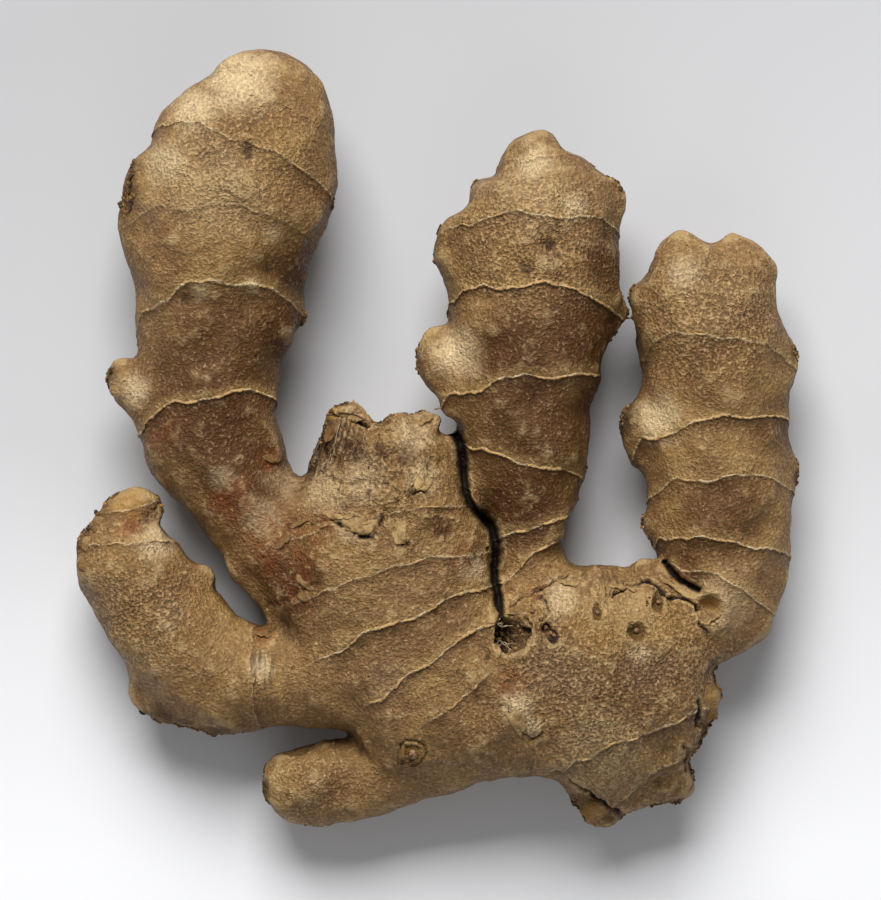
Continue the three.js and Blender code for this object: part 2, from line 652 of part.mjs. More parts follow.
const wasm = await Module();
wasm.setup();

function solidOf(geometry) {
  const bare = new THREE.BufferGeometry().setAttribute("position", geometry.getAttribute("position"));
  const merged = mergeVertices(bare.setIndex(geometry.index), 1e-3);
  const vertProperties = merged.attributes.position.array;
  const triVerts = new Uint32Array(merged.index.array);
  return new wasm.Manifold(new wasm.Mesh({ numProp: 3, vertProperties, triVerts }));
}

function geometryFrom(solid) {
  const { vertProperties, triVerts } = solid.getMesh();
  const geometry = new THREE.BufferGeometry();
  geometry.setAttribute("position", new THREE.BufferAttribute(vertProperties, 3));
  geometry.setIndex(new THREE.BufferAttribute(triVerts, 1));
  geometry.computeVertexNormals();
  return geometry;
}

// The lattice box round every lobe and bud.
const reach = new THREE.Box3();
for (const { box } of Object.values(stems)) reach.union(box);
reach.expandByScalar(MARGIN);
reach.min.z = -MARGIN;

const skin = solidOf(geometryOf(thin(findSkin(reach, GRID_STEP), SKIN_TRIANGLES)));

// The three swellings that carry the weight are worn flat on the ground plane.
const ground = new THREE.BoxGeometry(200, 200, 20).translate(0, 0, -10);
const rhizome = skin.subtract(solidOf(ground));

const group = new THREE.Group();
const gingerSkin = new THREE.MeshStandardMaterial({ color: 0xa58757, roughness: 0.78, metalness: 0 });
const root = new THREE.Mesh(geometryFrom(rhizome), gingerSkin);
root.name = "rhizome";
group.add(root);

export default group;
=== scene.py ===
"""A hand of fresh ginger lying on a pale table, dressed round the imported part."""

import math
import random

import bmesh
import bpy
import numpy as np
from mathutils import Matrix, Vector, noise
from mathutils.bvhtree import BVHTree


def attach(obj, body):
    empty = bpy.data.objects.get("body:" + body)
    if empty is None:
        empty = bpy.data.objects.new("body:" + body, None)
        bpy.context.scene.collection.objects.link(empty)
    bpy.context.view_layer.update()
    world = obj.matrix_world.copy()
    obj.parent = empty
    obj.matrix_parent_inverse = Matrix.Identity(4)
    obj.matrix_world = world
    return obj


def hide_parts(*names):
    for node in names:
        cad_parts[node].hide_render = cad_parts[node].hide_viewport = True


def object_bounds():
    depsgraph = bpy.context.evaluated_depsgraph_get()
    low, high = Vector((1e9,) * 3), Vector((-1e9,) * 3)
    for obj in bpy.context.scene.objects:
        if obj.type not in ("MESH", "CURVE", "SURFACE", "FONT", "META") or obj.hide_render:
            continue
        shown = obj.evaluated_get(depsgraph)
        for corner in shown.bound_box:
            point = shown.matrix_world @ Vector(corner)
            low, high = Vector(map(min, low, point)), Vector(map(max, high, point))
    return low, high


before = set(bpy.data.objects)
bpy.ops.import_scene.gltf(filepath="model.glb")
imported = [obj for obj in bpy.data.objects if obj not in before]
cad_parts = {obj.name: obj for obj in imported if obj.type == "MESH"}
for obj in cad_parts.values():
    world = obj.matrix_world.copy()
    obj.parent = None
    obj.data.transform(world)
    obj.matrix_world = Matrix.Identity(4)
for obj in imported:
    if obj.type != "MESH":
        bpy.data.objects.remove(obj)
cad_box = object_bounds()
scene = bpy.context.scene
scene.view_settings.view_transform = "Standard"
MM = 0.001

# ---- Camera ------------------------------------------------------------------------------------
# A long lens looks straight down on the rhizome from arm's length. Its frame is 146.8 mm wide at the
# height of the fingers' flanks, and centred a little below the middle of the object.

VIEW_WIDTH = 146.8 * MM
VIEW_CENTRE = (0.42 * MM, -2.0 * MM)
FLANK_HEIGHT = 14.0 * MM
CAMERA_RISE = 0.9

camera = bpy.data.objects.new("camera", bpy.data.cameras.new("camera"))
camera.data.sensor_fit = "HORIZONTAL"
camera.data.lens = camera.data.sensor_width * CAMERA_RISE / VIEW_WIDTH
camera.data.clip_start = 0.01
camera.location = (*VIEW_CENTRE, FLANK_HEIGHT + CAMERA_RISE)
scene.collection.objects.link(camera)
scene.camera = camera

# ---- Table and light ---------------------------------------------------------------------------
# A matt pale board under one softbox, halfway up the sky beyond the finger tips, with a weak fill from the
# near side. The board's colour is painted greyer away from the near side, as painted shade for the light's
# falloff.


def linear(hex_colour, alpha=1.0):
    """An sRGB hex colour as linear red, green and blue, with its alpha."""
    shares = [int(hex_colour[i:i + 2], 16) / 255 for i in (1, 3, 5)]
    return [c / 12.92 if c <= 0.04045 else ((c + 0.055) / 1.055) ** 2.4 for c in shares] + [alpha]


def feed(tree, node, inputs):
    """Sets inputs of a node, each a plain value or the socket that feeds it."""
    for name, value in inputs.items():
        if isinstance(value, bpy.types.NodeSocket):
            tree.links.new(value, node.inputs[name])
        else:
            node.inputs[name].default_value = value


def add(tree, kind, inputs=None, out=0, **settings):
    """Adds a shader node with its settings and inputs, and gives one of its outputs."""
    made = tree.nodes.new("ShaderNode" + kind)
    for name, value in settings.items():
        setattr(made, name, value)
    feed(tree, made, inputs or {})
    return made.outputs[out]


def bare_material(name):
    """A material whose tree holds only its surface shader, which is returned with the tree."""
    material = bpy.data.materials.new(name)
    material.use_nodes = True
    tree = material.node_tree
    tree.nodes.clear()
    surface = add(tree, "BsdfPrincipled")
    feed(tree, tree.nodes.new("ShaderNodeOutputMaterial"), {"Surface": surface})
    return material, tree, surface.node


TABLE_SIDE = 2.4
TABLE_DROP = 0.02 * MM
BOARD_TINT = "#f0f0f0"
# Each painted shade is [sideways lean of its direction, where it begins and ends along that in metres, its
# tint].
BOARD_PAINTED_SHADE = [(0.0, -0.072, 0.0, "#cecece"), (-0.33, -0.01, 0.091, "#b5b5b5")]
SOFTBOX = {"from": (-0.13, 0.88, 0.9), "side": 0.78, "watts": 24.5, "tint": "#fdfdff"}
FILL = {"from": (0.1, -0.95, 0.75), "side": 1.0, "watts": 2.2, "tint": "#fafbff"}
SKY = {"tint": "#f3f5f8", "strength": 0.2}

board = bmesh.new()
bmesh.ops.create_grid(board, x_segments=1, y_segments=1, size=TABLE_SIDE / 2)
bmesh.ops.translate(board, verts=board.verts, vec=(0, 0, -TABLE_DROP))
table = bpy.data.objects.new("table", bpy.data.meshes.new("table"))
board.to_mesh(table.data)
board.free()
scene.collection.objects.link(table)
paper, tree, surface = bare_material("matt_white_board")
# Coated board: matt and grainless. Its colour is painted a touch greyer the further it lies from the near
# side: painted shade.
colour = linear(BOARD_TINT)
for lean, nearest, furthest, tint in BOARD_PAINTED_SHADE:
    place = add(tree, "TexCoord", out="Object")
    depth = add(tree, "VectorMath", {0: place, 1: (lean, 1.0, 0.0)}, "Value", operation="DOT_PRODUCT")
    far = add(tree, "MapRange", {"Value": depth, "From Min": nearest, "From Max": furthest})
    colour = add(tree, "Mix", {"Factor": far, 6: colour, 7: linear(tint)}, 2, data_type="RGBA")
feed(tree, surface, {"Base Color": colour, "Roughness": 0.9})
table.data.materials.append(paper)

for name, lamp in {"softbox": SOFTBOX, "fill": FILL}.items():
    light = bpy.data.lights.new(name, "AREA")
    light.shape = "SQUARE"
    light.size = lamp["side"]
    light.energy = lamp["watts"]
    light.color = linear(lamp["tint"])[:3]
    holder = bpy.data.objects.new(name, light)
    holder.location = lamp["from"]
    holder.rotation_euler = Vector(lamp["from"]).to_track_quat("Z", "Y").to_euler()
    scene.collection.objects.link(holder)

world = bpy.data.worlds.new("room")
world.use_nodes = True
world.node_tree.nodes["Background"].inputs["Color"].default_value = linear(SKY["tint"])
world.node_tree.nodes["Background"].inputs["Strength"].default_value = SKY["strength"]
scene.world = world

# ---- Skin --------------------------------------------------------------------------------------
# The rhizome's own skin: corky, thin, dried to fine wrinkles that run across the stems. Old leaves leave
# rings with a papery lip on the root side, roots leave pits, and the skin cracks where lobes meet.

# The stems, from root end to tip: [x, y, z of the core, half width across the plan, half thickness].
LOBES = {
    "leftFinger": [
        [-22, -25.5, 13, 7.6, 8.4], [-31.2, -12, 13.2, 8.4, 9], [-37.1, -2.2, 13.4, 10.5, 10.2],
        [-38.6, 6.3, 13.6, 11.6, 10.9], [-37.8, 16.3, 13.8, 12.1, 11.6], [-36.8, 24.7, 14.2, 13.6, 12.6],
        [-36.6, 32.2, 14.6, 15.7, 14.2], [-34.5, 40.2, 14.8, 17.4, 15.2], [-31.2, 48, 15, 15.6, 14],
        [-28.6, 54.8, 15.4, 12.3, 11.2], [-27.8, 59.8, 15.8, 7.8, 7.8],
    ],
    "crown": [
        [6.5, -43.5, 13.4, 12, 11.8], [-1.3, -36, 13.3, 16, 13.7], [-7.2, -27, 14.4, 17.5, 13.6],
        [-8.2, -17.8, 15, 17.2, 13.4], [-8.2, -9.5, 15.4, 14.2, 12.2], [-7.8, -5, 15.6, 12, 10.8],
        [-7.2, -3.6, 15.6, 10.6, 9.4],
    ],
    "heel": [
        [-6.3, -43.7, 13.6, 12.4, 11.6], [5.3, -43.6, 14, 13.4, 12.2], [17, -40.6, 14.6, 16, 12.6],
        [27, -41.2, 14.4, 18.6, 12.4], [34, -41.2, 13.8, 17.4, 11.6], [38.8, -41.8, 13.2, 12.8, 10],
    ],
    "middleFinger": [
        [16.4, -29, 13.2, 6.6, 7.6], [15.3, -20.3, 13, 5.9, 7.2], [15.7, -13.7, 13.2, 7.2, 8],
        [15.3, -7, 13.8, 9.2, 9.4], [14.6, -0.3, 14.6, 10.8, 10.6], [13.4, 6.3, 15.2, 11.5, 11.4],
        [14.6, 13, 15.6, 13.5, 12.2], [15.8, 19.7, 15.8, 14.2, 12.6], [15.5, 26.3, 16, 14.4, 12.6],
        [15.6, 32.6, 16, 14.8, 12.4], [17.6, 38.6, 15.8, 12.4, 11.2], [17.5, 43.6, 15.6, 8.4, 9],
        [15.9, 48, 15.4, 5, 5.6],
    ],
    "rightFinger": [
        [37, -35, 12.4, 6.8, 8.6], [45.6, -28.8, 12, 9.1, 9.4], [48, -20.3, 11.8, 10.3, 10.2],
        [47.3, -13.7, 11.8, 11.9, 11.2], [47, -7, 11.7, 12.1, 11.9], [46.5, -0.3, 11.6, 12, 12.1],
        [46.2, 6.3, 11.8, 12.2, 12], [46.2, 13, 12.2, 12.3, 11.8], [44.8, 19.7, 12.8, 12.1, 11.2],
        [44.6, 24.6, 13.2, 11.6, 10.2], [45.2, 27.2, 13.4, 9.8, 8.2],
    ],
    "spur": [
        [-15, -38.5, 13.4, 10.2, 10.4], [-27.7, -40, 12.6, 8.5, 9], [-35.6, -39.4, 12.2, 9.9, 9.8],
        [-42.8, -34.8, 12.2, 10, 9.9], [-47.9, -27.2, 12.4, 9.3, 9.4], [-52.1, -20.4, 12.8, 8.4, 8.6],
        [-53.2, -15.9, 13.2, 6.3, 7], [-51.1, -11.8, 13.6, 3.9, 4.2],
    ],
    "stub": [
        [0, -50.6, 12.4, 9.2, 8.6], [-11.3, -56.2, 11, 6.8, 6.8], [-19.7, -57.7, 10.4, 7, 7],
        [-25.4, -57.7, 10.4, 6, 6.4],
    ],
}

# Leaf-scar rings: [x, y of the left and of the right flank point seen from root to tip, the bow of the plane
# towards the tip on top, the ring's share of the full height, how much of the leaf sheath is left on it].
RINGS = {
    "leftFinger": [
        [-40, 58, -18, 49.7, 2, 0.4, 0.2], [-47.7, 50.2, -18.3, 38.3, 5, 0.8, 0.45],
        [-50.5, 33.8, -21.7, 31.3, 5, 0.6, 0.3], [-50.3, 17, -24.7, 19.7, 6.3, 0.9, 0.5],
        [-48.8, 0.5, -27.2, 4.7, 4, 1, 0.85], [-37.2, -17.8, -24.7, -10.3, 1, 0.35, 0.2],
    ],
    "crown": [
        [-1.3, -47.8, 10.8, -37.3, 0.5, 0.9, 0.7], [-9.7, -43.7, 10.3, -30.7, 1, 1, 0.9],
        [-18, -37, 9.8, -24.5, 1.5, 1, 0.85], [-23, -28.7, 9.3, -19.5, 2.5, 0.7, 0.5],
        [-24.7, -17.8, 7, -12, 2, 0.6, 0.4], [-23, -7, 4.5, -2.8, 3, 0.4, 0.1],
    ],
    "heel": [[20.3, -56.2, 43.7, -45.7, 1.5, 0.8, 0.6], [28.7, -62, 42.5, -51.2, 1, 0.6, 0.5]],
    "middleFinger": [
        [9.8, 44.7, 24.5, 45.2, 1.8, 0.6, 0.35], [3.3, 33, 30.7, 33.8, 3.5, 1, 0.5],
        [2, 21.3, 29, 19.7, 4.4, 1, 1], [1.5, 5.5, 25.3, 8.8, 2.4, 1, 0.8],
        [4.2, -1.7, 23.7, -6.7, 0.4, 1, 0.6], [10.3, -17, 22.3, -13.3, 0.5, 0.9, 0.75],
        [10.8, -23.7, 21.3, -16.7, 0.5, 0.9, 0.7],
    ],
    "rightFinger": [
        [35, 27.2, 55.7, 27.2, 2, 0.3, 0.15], [34, 12.2, 59.2, 10, 5.6, 0.8, 0.4],
        [34.5, -2.3, 58.3, 2.2, 3.2, 1, 0.7], [34.8, -10.7, 59.8, -10.3, 3.9, 1, 0.5],
        [35.8, -17.8, 58.7, -20.3, 1.9, 1, 0.65], [38.7, -22, 56.2, -29.5, 1.7, 0.8, 0.5],
    ],
    "spur": [
        [-53.3, -11.2, -46.8, -11.2, -0.8, 0.8, 0.6], [-59.7, -18.7, -43.3, -17.8, 1, 0.7, 0.4],
        [-56.3, -31.2, -37.7, -23.7, 1.5, 0.5, 0.2], [-41.3, -48.3, -33.8, -28.3, 1, 0.5, 0.2],
        [-29.3, -48.7, -30.5, -30.7, 1, 0.6, 0.4],
    ],
    "stub": [[-18, -65, -17.2, -50.7, 0.8, 0.5, 0.2]],
}
RING_RUNOUT = 5.0  # mm past its flank points over which a ring runs out
RING_FADE = 3.0  # mm from one lobe into the next over which it runs out
RING_FAINTEST = 0.02  # share of the full height below which a ring is left out
RING_REACH = 6.0  # mm
RING_BAND = 2.5  # how far from a ring, in mm, its line is still known to the material

# Cracks on the upper side, and thin ridges where the depth is below zero: [depth, half width, then x, y of
# the points along it].
CRACKS = [
    [5, 0.74, (0.6, 4.2), (1.7, 2.4), (3.2, 0.2), (4, -2), (4.3, -6), (4.6, -9.7), (6, -12.2),
     (8.4, -13.9), (9.6, -16.5), (9.8, -19.8), (9.2, -22.3), (10, -27), (10.8, -33.4)],
    [1.2, 0.24, (28.7, -26), (31.2, -24.4), (34.5, -23.3), (36.2, -24.5), (38.3, -26.6), (40.8, -26.3),
     (42.3, -27.7), (43.5, -28.6)],
    [0.9, 0.26, (43, -30.2), (44.5, -32.3)],
    [2.4, 0.5, (37.5, -20.2), (38.8, -22.2), (40.5, -23.9), (43.7, -25.3)],
    [0.5, 0.15, (-11.2, -4.2), (-11.4, -6), (-11, -8), (-11.3, -9.8)],
    [0.4, 0.3, (24, -43.3), (26.8, -42.3)],
    [0.6, 0.22, (16.2, -26.2), (18, -26.8), (18.4, -29), (16.4, -30.3)],
    [0.7, 0.26, (12, -27.8), (15.3, -25.7), (19, -24), (21.7, -22.2)],
    [0.4, 0.3, (-24.2, -13.8), (-26.7, -17.7), (-29, -20)],
    [0.4, 0.3, (-20, -23.8), (-25.2, -27), (-28.7, -27.7)],
    [1, 0.3, (-18.8, 4), (-16.2, 4), (-13.7, 3.2), (-11.2, 1.7)],
    [0.9, 0.2, (-17.5, -13.4), (-14.5, -15.4), (-11.2, -16.4), (-10, -15), (-8.8, -12.8)],
    [0.6, 0.22, (-7.9, -12.4), (-7, -15), (-6.4, -17.2), (-4.5, -17.4)],
    [0.7, 0.2, (-4.2, -9.2), (-2, -8), (-1.5, -5.4)],
    [-0.45, 0.22, (-10.6, -4.2), (-8.6, -6.4), (-6.4, -8.4), (-4.6, -10.6)],
    [-0.35, 0.2, (-18.6, 2.4), (-18.8, -1), (-20.8, -4.6)],
    [-0.4, 0.2, (-16.6, 2), (-16.8, -1.4), (-19.4, -5.6)],
    [-0.35, 0.2, (-13, 1.2), (-13.4, -2.2), (-12, -4.6)],
    [-0.3, 0.2, (-4.6, -3.4), (-2.6, -5.4), (-2.4, -8)],
    [-0.4, 0.24, (-2.6, -13), (0.4, -12.6), (3.4, -13.4)],
    [-0.35, 0.2, (-2, -17.8), (1.6, -16.4), (6.4, -15)],
    [0.3, 0.16, (0.2, -12.2), (0.8, -14), (0.6, -15.8)],
    [-0.3, 0.2, (-22.6, -12.6), (-17, -12), (-12.4, -12.8)],
    [0.3, 0.14, (-10.8, -9.2), (-10.6, -10.8), (-9.2, -12.1), (-7.4, -11.9), (-6.3, -10.4),
     (-6.5, -8.6), (-7.8, -7.4), (-9.4, -7.5)],
    [0.5, 0.2, (9.8, -43.6), (12.2, -44.8), (13.4, -48.2), (15.5, -50.2), (17.4, -48)],
    [0.5, 0.24, (-30.2, -33), (-27.6, -32.2)],
    [0.4, 0.2, (-21.4, -14.4), (-17.4, -13.2), (-12.2, -12.8)],
    [0.5, 0.22, (11.6, -29.4), (14.2, -29), (15.6, -31.2), (14, -33.6)],
    [1.1, 0.34, (21.4, -57), (24, -58.6), (27.4, -61), (30.4, -62.4)],
    [1.5, 0.36, (43.2, -43.4), (43.5, -45.6), (42.9, -48)],
    [0.8, 0.26, (40.4, -50.4), (42, -52.6), (41.4, -55.4)],
    [0.5, 0.17, (-6.4, -52.4), (-6.3, -50.9), (-5.3, -49.9), (-3.6, -49.8), (-2.2, -50.8),
     (-1.9, -52.4), (-2.8, -53.9), (-4.5, -54.3)],
    [0.4, 0.15, (-5.3, -53.2), (-5.6, -52), (-5, -50.9), (-3.8, -50.7), (-3, -51.7)],
]
DEEP_CRACK = 2.0  # one deeper than this goes straight down, between two lobes

# Pits of roots that have gone: [x, y, half width, half length, depth, height of the rim].
PITS = [
    [17.9, -31.2, 0.8, 0.9, 0.8, 0.1], [19, -32.6, 1, 1.1, 1, 0.1], [26.3, -28.6, 0.85, 1.4, 1.1, 0.1],
    [32.8, -31.8, 1.5, 1.4, 1, 0.12], [36.5, -27, 0.9, 1.5, 1.1, 0.1], [45, -27.2, 1.8, 1.4, 0.3, 0.35],
    [11, -33, 1.25, 2.3, 2.2, 0], [8.4, -18.4, 0.4, 0.45, 0.7, 0.2], [18.4, 31.6, 0.7, 0.6, 0.35, 0],
    [-33, -3.2, 0.45, 0.45, 0.4, 0.1], [-4.3, -52, 1.4, 1.3, 0.3, 0.1], [34, -20.6, 0.5, 0.5, 0.4, 0.1],
    [15.6, -28.6, 0.5, 0.4, 0.5, 0.1], [14.4, -31.6, 0.7, 0.5, 0.8, 0.1], [-29.6, 13.6, 0.4, 0.5, 0.3, 0.1],
]

# Soft knots and dents in the skin: [x, y, z, radius, height].
KNOTS = [
    [-27.3, 33.5, 27, 1.9, 0.42], [-39, 24.4, 26, 1.5, 0.63], [-36.6, 23.2, 26, 1.1, 0.49],
    [-30.5, 24.6, 25, 1.4, 0.49], [-36.5, 44.5, 30, 3.4, -0.77], [-31.5, 41.5, 30, 2.4, 0.49],
    [-27.2, 27, 26, 2.4, -0.7], [-33, 20.6, 25, 2.6, -0.7], [-43.5, 33, 25, 2.4, 0.56],
    [-41, 47, 27, 3, 0.56], [-30, 52, 27, 2.8, -0.56], [-33.4, 37, 30, 2.6, -0.56],
    [-43, 20, 23, 2.6, 0.56], [-38, 12, 25, 3, -0.56], [12.6, -45, 26, 2.6, 0.7],
    [-4.3, -52, 21, 0.9, 0.98], [14, 28, 28, 2.6, -0.56], [20.5, 25.5, 28, 2.6, -0.49],
    [9.5, 18, 26, 2.6, 0.49], [16.5, 7, 27, 3, -0.49], [-15.5, -9.5, 28, 2.4, 0.56],
    [-6.5, -10.6, 28, 1.8, 0.63], [-8.5, -9.8, 29, 2, 0.56], [-6.4, -2.4, 27, 2.2, -0.7],
    [-13.6, -2, 26, 2, -0.7], [-1, -8, 27, 2.6, -0.56], [-3, -1, 26, 1.8, 0.7],
    [-2.8, -12.6, 27, 1.6, 0.56], [-13.6, -1.6, 26, 2, 0.7], [44, 20, 24, 3, -0.49], [50, 7, 23, 2.8, 0.49],
    [45.2, 33.6, 13, 2, -1.12], [-47, -24, 21, 3, 0.56], [-39, -33, 22, 3, -0.56], [22, -36, 27, 2.4, 0.56],
    [35, -40, 25, 3, -0.7], [28, -47, 24, 3, 0.56], [3, -42, 27, 3, -0.56], [-18, -21, 28, 3, 0.49],
    [-23, -9, 24, 2.4, 0.56], [45.2, -42.6, 15, 1.5, 1.26], [45, -45.6, 14, 1.3, 1.12],
    [-52.2, 44, 17, 2.4, -1.26], [-52.2, 39, 17, 2.6, -1.12], [-49.4, 42, 20, 1.6, 0.7],
    [-38.2, 45.5, 29, 2, -0.5], [-31, 47, 28, 1.6, -0.45], [-25.7, 43.5, 27, 2.2, -0.5],
    [-43.5, 35.2, 25, 2, -0.4], [-35.7, 22, 26, 1.8, -0.5], [-41.8, 22.7, 24, 1.8, -0.5],
    [-34.5, 41.8, 30, 1.8, 0.4], [-47.7, 39.3, 24, 2, 0.5],
]

# Swells and hollows of the flanks, which show in the outline from above: [x, y, radius, height].
FLANKS = [
    [-36.3, 61.8, 3, 1.2], [-44.3, 55.5, 3, 0.6], [-49.3, 49.3, 2.6, -1.5], [-53, 43, 3.5, 0.8],
    [-52.7, 33, 3.5, 1], [-17.2, 51.3, 3, -0.5], [-19.3, 33, 3, -0.9], [-22.4, 27.2, 2.6, 0.9],
    [-24.7, 16.8, 3.2, 1.3], [-53, 12.7, 2.2, 1.4], [-55.2, 7.7, 2.2, -0.6], [-48, -3.7, 4, 1.3],
    [-26.5, -1.2, 3.5, 1], [-43.8, -10.3, 3, -0.6], [-34.3, -22.8, 3, 1.3], [-49, -9, 2.6, 1.7],
    [-47, -12.5, 2.4, 1.6], [-38.8, -22.8, 2.2, 1.6], [-58, -12.8, 3, -1.8], [-60.3, -20.3, 4, 0.8],
    [-52.7, -37.3, 2.6, -0.9], [-50.7, -42.8, 3, 1.4], [-43.5, -47.8, 3, 0.8], [-37.2, -49.5, 3, -0.6],
    [-24.7, -51.2, 3.4, -1.1], [-27.2, -62.8, 2.6, -0.7], [-7.2, -61.5, 3.5, 0.7], [18.7, -57.3, 3, -1.4],
    [23.2, -62.8, 2.4, -2], [28.5, -64.5, 2.4, 1], [42, -58.7, 2.4, 0.9], [42.8, -54.5, 2.2, -1],
    [45.3, -47.3, 2.2, 1.2], [46.5, -38.8, 2, -1.1], [54.5, -32.5, 4, 1.3], [58, -23.7, 3.5, 0.7],
    [59.5, 10.5, 3, 1], [56.2, 26.3, 3, 0.6], [33.7, -3.7, 2.6, 1.7], [33.2, 28, 2.4, -1.5],
    [49, 33.7, 2, 0.6], [31.5, 23, 2, 1.3], [9.8, 45.5, 2.6, 1.3], [3.7, 39.7, 2.8, -2.4],
    [22, 48.8, 3.4, -1.3], [28.7, 43, 2.4, 1.1], [0.3, 29.7, 3, 1.3], [1.2, 22.7, 2, -0.7],
    [-1.3, 18, 2.4, 1.4], [1.4, 7, 2.2, 1.3], [2.8, 4.8, 1.6, 1.1], [-0.1, 3, 1.2, 1.6],
    [-0.2, 6.2, 1.3, -1.1], [2, 2, 1.1, -1.2], [28.2, 13, 3.6, -1.5], [22.3, -15.3, 3.4, -1.8],
    [-13, 6, 1.8, -1.2], [-9.7, 3.7, 2, -1.2], [26.2, -20.7, 3, -0.6], [33.7, -21, 2.4, 1.1],
    [40.4, 34.2, 1.6, 0.7], [48.6, 33.8, 1.6, 0.7], [44.6, 31.6, 1.8, 0.7],
]

# How ragged the edges of a kind of stain are, and where they begin to fade, where that isn't the usual.
FRINGE = {"umber_and_painted_shade": 0.3, "pale": 0.6}
SOFTNESS = {"umber_and_painted_shade": 0.4, "pale": 0.2}
